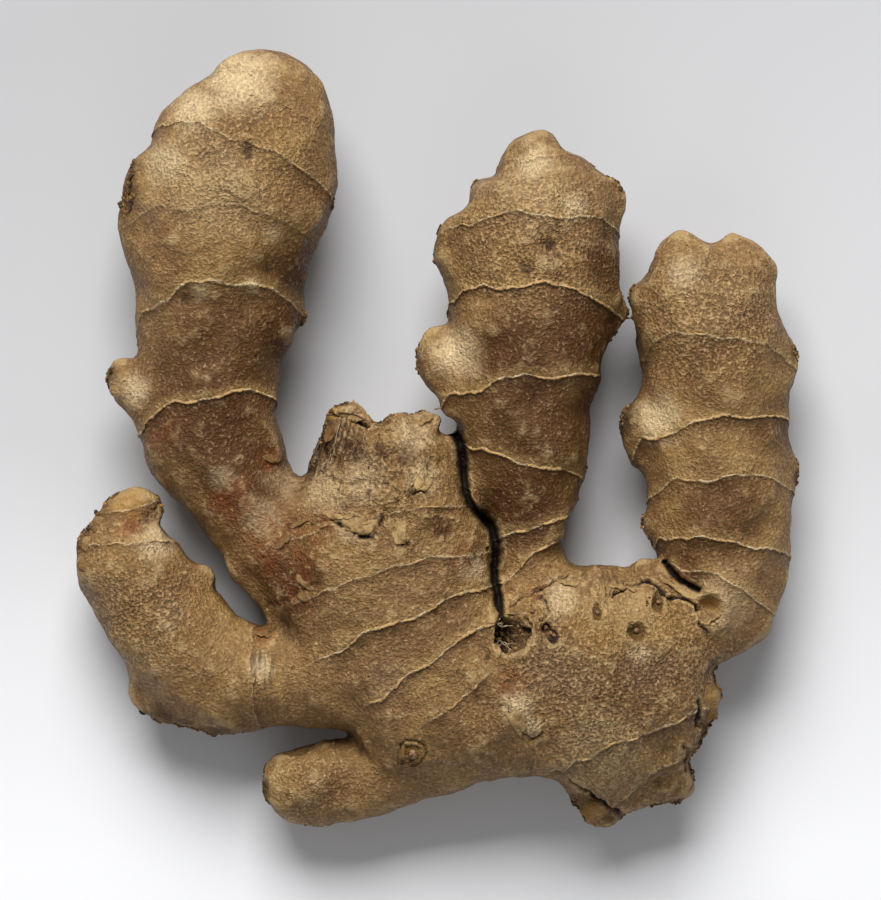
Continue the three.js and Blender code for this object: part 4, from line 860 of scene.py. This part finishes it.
# How far past a ring's line a place is, in mm, comes back from the sine and cosine kept on the mesh.
ring = add(tree, "Attribute", out="Vector", attribute_name="ring")
parts = add(tree, "SeparateXYZ", {"Vector": ring}).node.outputs
angle = add(tree, "Math", {0: parts["X"], 1: parts["Y"]}, operation="ARCTAN2")
gone = total(tree, [(angle, RING_BAND / math.pi), (known["stray"], RING_STRAY), (-RING_STRAY / 2,)])
clear = (parts["Z"], 0.1, 0.95)
patchy = (total(tree, [(mottle,), (parts["Z"], 0.3)]), 0.42, 0.68)
edge = product(tree, (apart(tree, gone, 0.05), 0.2, 0.05), clear, patchy, (tone, 0.34, 0.58, 0.25, 1.0))

cells = add(tree, "TexVoronoi", {"Vector": place, "Scale": FLECKS_PER_MM, "Randomness": 1.0}).node.outputs
lot = add(tree, "SeparateColor", {"Color": cells["Color"]}, "Red")
flecks = product(tree, (cells["Distance"], 0.2, 0.1), (lot, 0.66, 0.76))

TAN = "#84623a"
TINTS = [
    ("#a07e49", 0.62, (known["patches"], 0.4, 0.68)),
    ("#6f4d28", 0.22, (mottle, 0.52, 0.32)),
    ("#a98850", 0.18, (mottle, 0.52, 0.7)),
    # The umber brown: partly the skin's own colour, partly painted shade on the lower parts and flanks.
    ("#4b2804", 0.87, known["umber_and_painted_shade"]),
    # The pale tint: paler skin in part, painted highlight and sheen in part.
    ("#e1c798", 0.68, known["pale"]),
    ("#8a7258", 0.3, known["grey"]),
    ("#783c12", 0.62, known["red"], (mottle, 0.3, 0.6)),
    # Lighter on a ring's tip side as a painted highlight, darker on its root side as a painted shadow under
    # the lip.
    ("#c4a062", 0.3, (gone, 0.0, 0.3), (gone, 2.2, 0.3), clear),
    ("#4f3316", 0.42, (gone, 0.0, -0.4), (gone, -2.4, -0.4), clear),
]
# Each grain is a pattern, the values between which it shows, and how dark and light it makes the skin there:
# painted shade in the pits and painted light on the tops of the pebbles and specks, and a random tone.
GRAIN_SHADING_AND_TONE = [(pebble, 0.0, 0.9, 0.8, 1.11), (speckle, 0.34, 0.66, 0.84, 1.11), (tone, 0.35, 0.65, 0.94, 1.06)]
MARKS = [
    # Painted shade in the wrinkles' grooves.
    ("#432b14", 0.4, (wrinkle, 0.2, 0.95)),
    # Painted glints on the tops of the pebbles.
    ("#e0c89a", 0.24, (pebble, 0.7, 1.0), (tone, 0.42, 0.62)),
    # Where the grain is coarse: painted shade in the pits and painted glints on the pebbles.
    ("#3c2611", 0.52, (pebble, 0.46, 0.12), known["coarse"]),
    ("#d2b07a", 0.3, (pebble, 0.62, 0.95), known["coarse"]),
    # Painted highlight on the crests and painted shade in the creases.
    ("#d8bb84", 0.3, (known["crease_painted_light"], -0.04, -0.16)),
    ("#3a2511", 0.7, (known["crease_painted_light"], 0.06, 0.2)),
    # Painted shade in the broad hollows.
    ("#432c16", 0.4, (known["hollow_painted_shade"], 0.25, 1.1)),
    # Painted shade on the steep flanks.
    ("#472c14", 0.5, known["flank"]),
    # A thin painted shadow just under a ring's lip.
    ("#2f1d0c", 0.5, (apart(tree, gone, -0.3), 0.34, 0.06), clear),
    # Nearly black: dried buds, and painted shade on the stump and in the cup scar.
    ("#24150a", 0.75, known["dark_buds_and_painted_shade"], (tone, 0.3, 0.62, 1.0, 0.55)),
    # Painted shade in the gaps between the strands.
    ("#2a180c", 0.85, known["strand_gap_shade"]),
    ("#e4cfa2", 0.8, edge),
    ("#3a2616", 0.85, known["crust"], (speckle, 0.34, 0.56)),
    ("#9c7338", 0.65, known["crust"], (speckle, 0.56, 0.66)),
    ("#2e1b0c", 0.55, flecks),
    # Painted shade in the grooves between the ribs.
    ("#3a2613", 0.7, (rib, 0.5, 0.36), known["ribbed"]),
    # Painted shade in the pits.
    ("#27170d", 0.82, (known["pit_painted_shade"], 0.1, 0.6)),
    ("#b08238", 0.62, known["ochre"]),
    # Nearly black painted shade in the cracks.
    ("#120a05", 0.92, (known["cracked"], 0.3, 0.8)),
]
# Heights of the finest relief, as shares of its depth.
HEIGHTS = [
    (0.66, pebble), (-0.36, wrinkle), (0.75, pebble, known["coarse"]), (0.8, mottle), (0.6, speckle),
    (0.5, edge), (2.4, rib, known["ribbed"]), (-0.4, flecks), (1.5, speckle, known["crust"]),
]
colour = tinted(tree, linear(TAN), TINTS)
for limits in GRAIN_SHADING_AND_TONE:
    colour = add(tree, "VectorMath", {0: colour, 3: product(tree, limits)}, operation="SCALE")
colour = tinted(tree, colour, MARKS)
rough = total(tree, [((pebble, 0.0, 1.0, 0.7, 0.4),), (0.2, known["crust"])])
bump = add(tree, "Bump", {"Height": total(tree, HEIGHTS), "Strength": 1.0, "Distance": 0.26 * MM})
feed(tree, surface, {"Base Color": colour, "Roughness": rough, "Specular IOR Level": 0.27, "Normal": bump})
hide.materials.clear()
hide.materials.append(ginger)
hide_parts("rhizome")
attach(skin, "root")

# ---- Torn leaf sheaths -------------------------------------------------------------------------
# Each ring is where a leaf sheath was: its dried foot stays as a ragged papery edge that hangs over the
# root side, in broken runs. It is part of the skin, less than a tenth of a millimetre thick.

# Lengths in mm round the ring, towards the tip and outwards; "gaps" tells how often the edge is missing.
SHEATH = {"step": 0.3, "foot": 0.14, "overhang": 0.3, "curl": 0.1, "thick": 0.06, "shortest_run": 4,
          "lowest": 4.0, "crest": 0.13, "least_share": 0.12, "least_points": 12, "gaps": 0.55, "sunk": 0.07,
          "over": 0.1}


def hand_on(piece, bm, material):
    """Makes a bmesh the mesh of a piece that rides with the rhizome."""
    made = bpy.data.meshes.new(piece)
    bm.to_mesh(made)
    bm.free()
    body = bpy.data.objects.new(piece, made)
    scene.collection.objects.link(body)
    made.materials.append(material)
    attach(body, "root")
    return body


def shaded_mesh():
    """An empty bmesh whose vertices carry a shade for the material."""
    made = bmesh.new()
    made.verts.layers.float.new("shade")
    return made


def laid_grid(bm, rows, shade):
    """Adds a sheet of quads whose vertices stand at the given places, row by row, all of one shade."""
    tall, wide = len(rows) - 1, len(rows[0]) - 1
    made = bmesh.ops.create_grid(bm, x_segments=wide, y_segments=tall, size=1.0)["verts"]
    for vert in made:
        column = round((vert.co.x + 1) / 2 * wide)
        row = round((vert.co.y + 1) / 2 * tall)
        vert.co = Vector(rows[row][column]) * MM
        vert[bm.verts.layers.float["shade"]] = shade


def stiffened(body, thickness):
    """Gives a sheet its thickness, half on either side, and keeps it inside the part's box."""
    solid = body.modifiers.new("paper_thickness", "SOLIDIFY")
    solid.thickness = thickness * MM
    solid.offset = 0.0
    mesh = settled(body)
    places = np.clip(read_vertices(mesh)[0], low, high)
    mesh.vertices.foreach_set("co", (places * MM).ravel())
    mesh.update()
    mesh.shade_smooth()


shreds = shaded_mesh()
chance = random.Random(7)
on_crest = (np.abs(past) < SHEATH["crest"]) & (sheathed > SHEATH["least_share"])
on_crest &= points[:, 2] > SHEATH["lowest"]
for number, (normal, middle, across, _, _, sheath) in enumerate(rings):
    crest = np.nonzero(on_crest & (ring_of == number))[0]
    if len(crest) < SHEATH["least_points"]:
        continue
    upright = np.cross(across, normal)
    spokes = points[crest] - middle
    round_it = np.arctan2(spokes @ upright, spokes @ across)
    girth = np.hypot(spokes @ upright, spokes @ across).mean()
    bins = np.round(round_it * girth / SHEATH["step"]).astype(int)
    run = []
    for slot in range(bins.min(), bins.max() + 2):
        inside = crest[bins == slot]
        rag = 0.0
        if len(inside):
            at = points[inside].mean(0)
            outward = normals[inside].mean(0)
            outward /= np.linalg.norm(outward)
            tipwards = normal - (normal @ outward) * outward
            tipwards /= np.linalg.norm(tipwards)
            torn_off = noise.fractal(Vector(at) * 0.33 + Vector((number, 0, 0)), *FRACTAL, 3)
            rag = sheath * strength[inside].mean() + torn_off - SHEATH["gaps"]
        if rag > 0:
            nick = 0.6 + 0.8 * chance.random()
            reach = SHEATH["overhang"] * min(1, 0.35 + rag) * nick
            lift = SHEATH["curl"] * (0.25 + 0.9 * rag) * (0.6 + 0.8 * chance.random())
            run.append((at + tipwards * SHEATH["foot"] - outward * SHEATH["sunk"],
                        at + outward * SHEATH["over"],
                        at - tipwards * reach * 0.55 + outward * (0.08 + lift * 0.7),
                        at - tipwards * reach + outward * (lift + 0.02)))
        else:
            if len(run) >= SHEATH["shortest_run"]:
                laid_grid(shreds, list(zip(*run)), chance.random())
            run = []

papery, tree, surface = bare_material("dried_leaf_sheath")
# Thin dried leaf: straw to brown, fibrous, dull.
place = place_in_mm(tree)
shade = add(tree, "Attribute", out="Fac", attribute_name="shade")
mottle = add(tree, "TexNoise", {"Vector": place, "Scale": 0.6, "Detail": 3.0, "Roughness": 0.6})
streaks = add(tree, "TexNoise", {"Vector": place, "Scale": 3.2, "Detail": 2.0, "Roughness": 0.6})
colour = tinted(tree, linear("#b8955f"), [
    ("#7c5b37", 0.75, (mottle, 0.56, 0.4)), ("#d6bb86", 0.6, (streaks, 0.5, 0.68)),
    ("#5b3f25", 0.6, (streaks, 0.46, 0.34)), ("#9a6f3e", 0.3, shade),
])
bump = add(tree, "Bump", {"Height": streaks, "Strength": 0.8, "Distance": 0.15 * MM})
feed(tree, surface, {"Base Color": colour, "Roughness": 0.72, "Specular IOR Level": 0.3, "Normal": bump})
stiffened(hand_on("leaf_sheath_edges", shreds, papery), SHEATH["thick"])

# ---- Cork crumbs -------------------------------------------------------------------------------
# Where buds, roots and cut ends have dried, the skin breaks up into loose cork: crumbs and scales from
# golden to nearly black, mostly a third of a millimetre to a millimetre and a half across.

# A crusty spot has so many crumbs for each millimetre of its radius. Sizes are half a crumb's width in mm.
CRUMB = {"per_mm": 11.0, "most": 60, "smallest": 0.18, "largest": 0.6, "turn": 6.3, "tilt": 0.6,
         "flat": (0.25, 0.8), "narrow": 0.75, "rough": (-0.35, 0.3), "sunk": 0.15, "lowest": 1.2}
SPOT_TONE, CLUSTER_TONE, TONE_VARIES = 0.5, 0.3, 0.5
# Dried buds and torn ends, where larger and darker scales stand close: [x, y, z, spread, how many, size].
CLUSTERS = [
    [-51.2, 44, 19, 2.8, 40, 0.7], [-51.4, 39.6, 19, 3.2, 50, 0.75], [-16.8, 38.5, 15, 0.7, 12, 0.55],
    [-22.6, 20, 13, 1.3, 24, 0.6], [-55.2, 10.6, 15, 1.2, 26, 0.6], [-54.6, 8, 14, 1.3, 14, 0.5],
    [-44.4, 55.6, 15, 1, 10, 0.45], [5.6, 41.5, 15, 0.8, 14, 0.55], [0.2, 34.4, 15, 0.9, 14, 0.5],
    [0.6, 30, 15, 1.2, 8, 0.4], [-3, 14.6, 15, 1.4, 26, 0.5], [-2, 11, 15, 1.2, 12, 0.5],
    [30.8, 21, 15, 1.1, 24, 0.6], [29, 17, 14, 1.4, 16, 0.5], [32.6, 25, 13, 1.2, 26, 0.6],
    [31, 3.4, 13, 2.2, 56, 0.7], [34, -14, 13, 1.2, 26, 0.6], [35, -17, 12, 1.2, 10, 0.45],
    [59.6, 14.5, 13, 1.2, 18, 0.5], [59.8, -4, 12, 0.8, 12, 0.5], [-16.2, 6.2, 19, 1.6, 34, 0.6],
    [-19.4, 1, 19, 2, 34, 0.6], [-4.4, 4.6, 16, 2, 22, 0.45], [24, -5, 14, 0.8, 6, 0.4],
    [22.6, -10, 14, 0.8, 8, 0.4], [45.4, -40, 15, 1.8, 36, 0.75], [43.4, -45, 14, 2.4, 46, 0.8],
    [43, -50.6, 13, 2, 40, 0.75], [42, -55, 12, 1.6, 26, 0.7], [36.5, -59.5, 11, 2, 30, 0.65],
    [27.2, -64, 10, 1.4, 34, 0.75], [24, -61, 11, 2.2, 40, 0.75], [21.6, -57.8, 11, 1.4, 20, 0.6],
    [31, -62, 10, 1.6, 20, 0.6], [-44.5, -47.5, 8, 3, 40, 0.65], [-37, -49.6, 8, 3, 40, 0.65],
    [-57, -14, 16, 1.8, 30, 0.6], [-59, -18, 15, 1.6, 24, 0.55], [-53.6, -10, 14, 1.4, 20, 0.5],
    [-29.6, -56, 11, 1.6, 22, 0.5], [-29, -61, 9, 1.6, 22, 0.5], [-20, -64, 8, 2.4, 26, 0.5],
    [8.4, -18.6, 25, 0.9, 8, 0.35], [11, -31, 20, 2.2, 40, 0.55], [12.4, -34.4, 22, 1.8, 30, 0.5],
    [18.6, -31.8, 24, 1.2, 18, 0.4], [36.6, -26.2, 24, 1, 8, 0.35],
]

crumbs = shaded_mesh()
chance = random.Random(11)
reachable = points[:, 2] > CRUMB["lowest"]
piles = [(x, y, z, radius, min(CRUMB["most"], CRUMB["per_mm"] * radius), CRUMB["largest"], SPOT_TONE)
         for x, y, z, radius in STAINS_AND_PAINTED_LIGHT["crust"]]
piles += [(*cluster, CLUSTER_TONE) for cluster in CLUSTERS]
for x, y, z, radius, count, largest, tone in piles:
    spread = from_spot(points, [x, y, z]) / radius
    inside = np.nonzero((spread + fringe < 1.0) & reachable)[0]
    if not len(inside):
        inside = np.nonzero((spread < max(1.0, spread.min() * 1.2)) & reachable)[0]
    for _ in range(int(count)):
        seat = chance.choice(inside.tolist())
        size = chance.uniform(CRUMB["smallest"], largest) * (0.7 + 0.5 * chance.random() ** 2)
        outward = Vector(normals[seat])
        turn = Matrix.Rotation(chance.random() * CRUMB["turn"], 3, "Z")
        tilt = Matrix.Rotation(chance.uniform(-CRUMB["tilt"], CRUMB["tilt"]), 3, "X")
        laid = outward.to_track_quat("Z", "Y").to_matrix() @ turn @ tilt
        flat = chance.uniform(*CRUMB["flat"])
        made = bmesh.ops.create_icosphere(crumbs, subdivisions=1, radius=1.0)["verts"]
        shade = min(1.0, max(0.0, tone + chance.uniform(-TONE_VARIES, TONE_VARIES)))
        for vert in made:
            rough = vert.co * (1 + chance.uniform(*CRUMB["rough"]))
            rough = Vector((rough.x, rough.y * CRUMB["narrow"], rough.z * flat)) * size
            vert.co = (Vector(points[seat]) + laid @ rough + outward * size * CRUMB["sunk"]) * MM
            vert[crumbs.verts.layers.float["shade"]] = shade
for vert in crumbs.verts:
    vert.co = [min(max(c, lo * MM), hi * MM) for c, lo, hi in zip(vert.co, low, high)]

cork, tree, surface = bare_material("loose_dried_cork")
# Dead cork and dried sap: dull, gritty, from straw-gold through brown to nearly black.
place = place_in_mm(tree)
shade = add(tree, "Attribute", out="Fac", attribute_name="shade")
grit = add(tree, "TexNoise", {"Vector": place, "Scale": 3.4, "Detail": 3.0, "Roughness": 0.65})
colour = tinted(tree, linear("#6d4f2f"), [
    ("#a88149", 0.85, (shade, 0.6, 0.85)), ("#33241a", 0.85, (shade, 0.4, 0.15)),
    ("#c2a26c", 0.6, (grit, 0.55, 0.7)), ("#2c1d12", 0.7, (grit, 0.45, 0.32)),
])
bump = add(tree, "Bump", {"Height": grit, "Strength": 1.0, "Distance": 0.2 * MM})
feed(tree, surface, {"Base Color": colour, "Roughness": 0.85, "Specular IOR Level": 0.2, "Normal": bump})
hand_on("cork_crumbs", crumbs, cork)

# ---- Root stubs --------------------------------------------------------------------------------
# Dried ends of roots, each a small wrinkled knob at the bottom of its pit, glossier than the cork round it.

# Shares of a stub's radius, but for the lumps' scale.
STUB = {"flat": 0.8, "lumps": 0.28, "lump_scale": 2.2, "sunk": 0.4}
# Each is [x, y, radius, height above the pit's floor].
ROOT_STUBS = [
    [17.8, -31.2, 0.42, 0.25], [19.2, -32.5, 0.4, 0.2], [26.3, -28.8, 0.42, 0.4], [32.7, -31.7, 0.5, 0.3],
    [36.5, -27.2, 0.4, 0.4], [8.4, -18.4, 0.28, 0.2], [-4.1, -52.1, 0.8, 0.5], [15.6, -28.6, 0.3, 0.2],
]

OVERHEAD, MIDWAY = 60, 19  # heights in mm to look down from, and to look for the nearest skin from
STEEPEST = 0.15  # the least upward share of a normal where a thing can still be laid from above
ground = bmesh.new()
ground.from_mesh(hide)
felt = BVHTree.FromBMesh(ground)
ground.free()


def lie_at(x, y):
    """The place on the skin straight below x, y in mm, or the nearest to it, and the normal there."""
    place, normal, _, _ = felt.ray_cast(Vector((x, y, OVERHEAD)) * MM, Vector((0, 0, -1)))
    if place is None or normal.z < STEEPEST:
        place, normal, _, _ = felt.find_nearest(Vector((x, y, MIDWAY)) * MM)
    return place / MM, normal


stubs = bmesh.new()
for x, y, radius, height in ROOT_STUBS:
    seat, _ = lie_at(x, y)
    for vert in bmesh.ops.create_icosphere(stubs, subdivisions=3, radius=1.0)["verts"]:
        lumpy = 1 + STUB["lumps"] * noise.noise(vert.co * STUB["lump_scale"] + Vector((x, y, 0)))
        vert.co = (seat + Vector((vert.co.x, vert.co.y, vert.co.z * STUB["flat"])) * radius * lumpy
                   + Vector((0, 0, height - radius * STUB["sunk"]))) * MM

knob, tree, surface = bare_material("dried_root_end")
# Shrunken root flesh: pinkish buff, a little shiny, brown in its dents.
dents = add(tree, "TexNoise", {"Vector": place_in_mm(tree), "Scale": 1.9, "Detail": 3.0, "Roughness": 0.6})
colour = tinted(tree, linear("#8a6446"), [("#432b1c", 1.0, (dents, 0.55, 0.38))])
bump = add(tree, "Bump", {"Height": dents, "Strength": 1.0, "Distance": 0.25 * MM})
feed(tree, surface, {"Base Color": colour, "Roughness": 0.38, "Normal": bump})
hand_on("root_stubs", stubs, knob).data.shade_smooth()

# ---- Torn flaps --------------------------------------------------------------------------------
# Scraps of skin that tore when a finger was broken off, dried and lifted along one edge.

# Each is [x, y, heading of the free edge in degrees, width across it, length, lift, ragged, shade].
FLAPS = [
    [-2.6, -7.6, -118, 2.9, 2.4, 0.6, 0.25, 1], [-13, -14.4, -95, 6, 2.2, 0.28, 0.5, 0.8],
    [-6.4, -15.3, -84, 2.6, 4.4, 0.3, 0.2, 0.85], [-16.2, -12.9, -92, 5, 1, 0.25, 0.4, 0.9],
    [39.6, -24.9, -122, 7.4, 0.8, 0.4, 0.5, 0.9], [13, -46.6, -60, 2.4, 4.2, 0.3, 0.3, 0.8],
    [-14.8, 3.9, -105, 6.6, 1.2, 0.6, 0.7, 0.9], [-17.6, 1.4, -112, 2.2, 3.4, 0.5, 0.6, 0.1],
    [30.6, -24.7, -100, 6, 0.9, 0.3, 0.6, 0.9], [21.5, -24, -100, 4, 0.9, 0.3, 0.6, 0.7],
    [45.4, -30, -60, 3.6, 0.8, 0.5, 0.5, 0.8], [-27.4, -3.4, -90, 3.4, 1.3, 0.45, 0.6, 0.1],
    [9, -29.5, -30, 2.6, 1.4, 0.4, 0.6, 0.9], [9.6, -35, 20, 2.6, 1.2, 0.5, 0.6, 0.9],
    [-22.2, -26.2, -130, 2.4, 1.2, 0.3, 0.5, 0.2], [-2, 3, -60, 3.4, 1, 0.35, 0.6, 0.5],
    [-22.6, -13.9, -60, 4.4, 0.9, 0.3, 0.5, 0.2], [-25.6, -17.2, -50, 4, 0.9, 0.3, 0.5, 0.1],
    [-22, -24, -130, 4, 0.8, 0.3, 0.5, 0.3], [-29, -32.6, -100, 3, 1, 0.4, 0.5, 0.2],
    [-56.6, -14.2, 145, 3, 1.2, 0.5, 0.7, 0.3], [-58.4, -17.6, 165, 2.8, 1, 0.5, 0.7, 0.5],
    [-59, -21, 180, 2.4, 0.9, 0.5, 0.7, 0.2], [-55, -17, 120, 2.4, 1.1, 0.4, 0.7, 0.6],
    [-49, -12.2, 60, 2.2, 0.9, 0.4, 0.6, 0.2],
]
# Lengths in mm; the rest are shares, and the power by which a flap curls up towards its free edge.
FLAP = {"mesh": 0.3, "thick": 0.1, "foot": -0.06, "narrowing": 0.35, "waves": 0.1, "curl": 2.2, "slope": 0.08,
        "corners_held": 0.5}

scraps = shaded_mesh()
for number, (x, y, heading, width, length, lift, rag, shade) in enumerate(FLAPS):
    ahead = Vector((math.cos(math.radians(heading)), math.sin(math.radians(heading)), 0))
    aside = Vector((-ahead.y, ahead.x, 0))
    wide, tall = max(4, int(width / FLAP["mesh"])), max(3, int(length / FLAP["mesh"]))
    rows = []
    for j in range(tall + 1):
        row = []
        for i in range(wide + 1):
            u, v = (i / wide - 0.5) * 2, j / tall
            torn_edge = 1 + rag * noise.fractal(Vector((u * width * 0.45, number * 7.1, 0)), *FRACTAL, 3)
            narrowed = 1 - FLAP["narrowing"] * v ** 2
            spot = Vector((x, y, 0)) + aside * u * width / 2 * narrowed
            spot += ahead * (v - 0.5) * length * torn_edge
            seat, outward = lie_at(spot.x, spot.y)
            wave = FLAP["waves"] * noise.noise(Vector((spot.x, spot.y, number)) * 0.9)
            up = FLAP["foot"] + (lift + wave) * v ** FLAP["curl"] + FLAP["slope"] * v
            row.append(seat + outward * up * (1 - FLAP["corners_held"] * u ** 4))
        rows.append(row)
    laid_grid(scraps, rows, shade)

lifted, tree, surface = bare_material("lifted_dry_skin")
# The same cork skin, thin and dried, each flap from dark brown to pale as its shade says.
place = place_in_mm(tree)
shade = add(tree, "Attribute", out="Fac", attribute_name="shade")
mottle = add(tree, "TexNoise", {"Vector": place, "Scale": 0.7, "Detail": 4.0, "Roughness": 0.62})
grit = add(tree, "TexNoise", {"Vector": place, "Scale": 3.0, "Detail": 3.0, "Roughness": 0.62})
colour = tinted(tree, linear("#65441f"), [
    ("#ab8d5c", 1.0, shade), ("#6d4b26", 0.7, (mottle, 0.52, 0.38)),
    ("#c9aa72", 0.4, (grit, 0.54, 0.7)), ("#4c3420", 0.6, (grit, 0.46, 0.3)),
])
height = total(tree, [(0.6, grit), (mottle,)])
bump = add(tree, "Bump", {"Height": height, "Strength": 1.0, "Distance": 0.22 * MM})
feed(tree, surface, {"Base Color": colour, "Roughness": 0.68, "Specular IOR Level": 0.3, "Normal": bump})
stiffened(hand_on("torn_skin_flaps", scraps, lifted), FLAP["thick"])

# ---- Fibres ------------------------------------------------------------------------------------
# Strings of the flesh that were pulled out where fingers broke off, dried flat on the skin: dark on the
# broken stump, nearly white in the hollow between the crown and the middle finger.

# Each is [thickness, how pale, how far it stands off, then x, y of the points along it].
FIBRES = [
    [0.28, 0.1, 0.06, (-18.4, 3.6), (-19.4, 0.6), (-20.6, -2.2), (-21.8, -5)],
    [0.26, 0, 0.06, (-17.2, 3.4), (-18, 0.4), (-19, -2.4), (-20.6, -5.6)],
    [0.22, 0.1, 0.06, (-19.6, 2.2), (-20.8, -1.2), (-22.6, -4.4)],
    [0.24, 0.3, 0.08, (-16.2, 2.8), (-16.9, -0.6), (-18, -3.6), (-19, -6.6)],
    [0.2, 0, 0.06, (-15, 2.2), (-15.6, -1), (-16.6, -4.6)],
    [0.2, 0.1, 0.06, (-13.4, 2), (-13.6, -1.4), (-14.6, -5)],
    [0.2, 0.2, 0.06, (-12, 1.4), (-12, -2), (-12.6, -5.4)],
    [0.18, 0, 0.05, (-9.6, 0.6), (-9.4, -2.6), (-10.4, -5.8)],
    [0.18, 0.1, 0.05, (-6.6, 0), (-6, -3), (-6.4, -6.2)],
    [0.34, 0, 0.2, (-18.5, 3.8), (-16.3, 4.3), (-13.8, 3.9), (-11.2, 2.4)],
    [0.22, 1, 0.7, (9.8, -30), (10.6, -30.6), (11.6, -30.2), (12.4, -30.8)],
    [0.18, 1, 0.9, (9.6, -30.6), (10.8, -30), (11.8, -30.8)],
    [0.2, 1, 0.6, (9.6, -34), (10.8, -33.6), (11.9, -34.4), (12.6, -34)],
    [0.16, 0.9, 0.7, (10, -35), (11.2, -34.4), (12.2, -35.2)],
    [0.2, 0.1, 0.2, (44, -28.6), (45.4, -29.6), (46.2, -31.2)],
]

# Shares of each part of its line at which a fibre has points, its sway and kinks in mm, how much it thins
# towards its end, how it arches off the skin, and the seed of its kinks.
FIBRE = {"steps": (0, 0.25, 0.5, 0.75), "sway": 0.5, "taper": 0.6, "kinks": 0.1, "ends_off": 0.4,
         "arch": 3.1, "seed": 5}
strings = []
for number, (thick, pale, off, *line) in enumerate(FIBRES):
    path = bpy.data.curves.new("fibre", "CURVE")
    path.dimensions = "3D"
    path.bevel_depth = thick / 2 * MM
    path.bevel_resolution = 1
    path.use_fill_caps = True
    path.resolution_u = 6
    line = [(a[0] + (b[0] - a[0]) * t, a[1] + (b[1] - a[1]) * t)
            for a, b in zip(line[:-1], line[1:]) for t in FIBRE["steps"]] + [line[-1]]
    spline = path.splines.new("NURBS")
    spline.points.add(len(line) - 1)
    spline.use_endpoint_u = True
    spline.order_u = 3
    for k, (x, y) in enumerate(line):
        sway = noise.noise(Vector((x, y, number)) * 0.7) * FIBRE["sway"]
        seat, outward = lie_at(x + sway, y)
        share = k / (len(line) - 1)
        place = (seat + outward * off * (FIBRE["ends_off"] + math.sin(share * FIBRE["arch"]))) * MM
        spline.points[k].co = (*place, 1.0)
        spline.points[k].radius = 1.0 - FIBRE["taper"] * share
    tube = bpy.data.objects.new("fibre", path)
    scene.collection.objects.link(tube)
    mesh = bpy.data.meshes.new_from_object(tube.evaluated_get(bpy.context.evaluated_depsgraph_get()))
    strings.append((mesh, pale))
    bpy.data.objects.remove(tube)

threads = shaded_mesh()
noise.seed_set(FIBRE["seed"])
for mesh, pale in strings:
    before = len(threads.verts)
    threads.from_mesh(mesh)
    threads.verts.ensure_lookup_table()
    for vert in threads.verts[before:]:
        vert.co += noise.noise_vector(vert.co / MM * 1.4) * FIBRE["kinks"] * MM
        vert[threads.verts.layers.float["shade"]] = pale
bmesh.ops.recalc_face_normals(threads, faces=threads.faces)

stringy, tree, surface = bare_material("dried_flesh_fibre")
# Dried plant fibre: matt, brown to bone white.
shade = add(tree, "Attribute", out="Fac", attribute_name="shade")
grit = add(tree, "TexNoise", {"Vector": place_in_mm(tree), "Scale": 2.4, "Detail": 3.0, "Roughness": 0.6})
colour = tinted(tree, linear("#2e1d10"), [("#7d5c3a", 1.0, grit), ("#cdbb9a", 1.0, shade)])
bump = add(tree, "Bump", {"Height": grit, "Strength": 0.8, "Distance": 0.15 * MM})
feed(tree, surface, {"Base Color": colour, "Roughness": 0.75, "Normal": bump})
hand_on("torn_fibres", threads, stringy).data.shade_smooth()
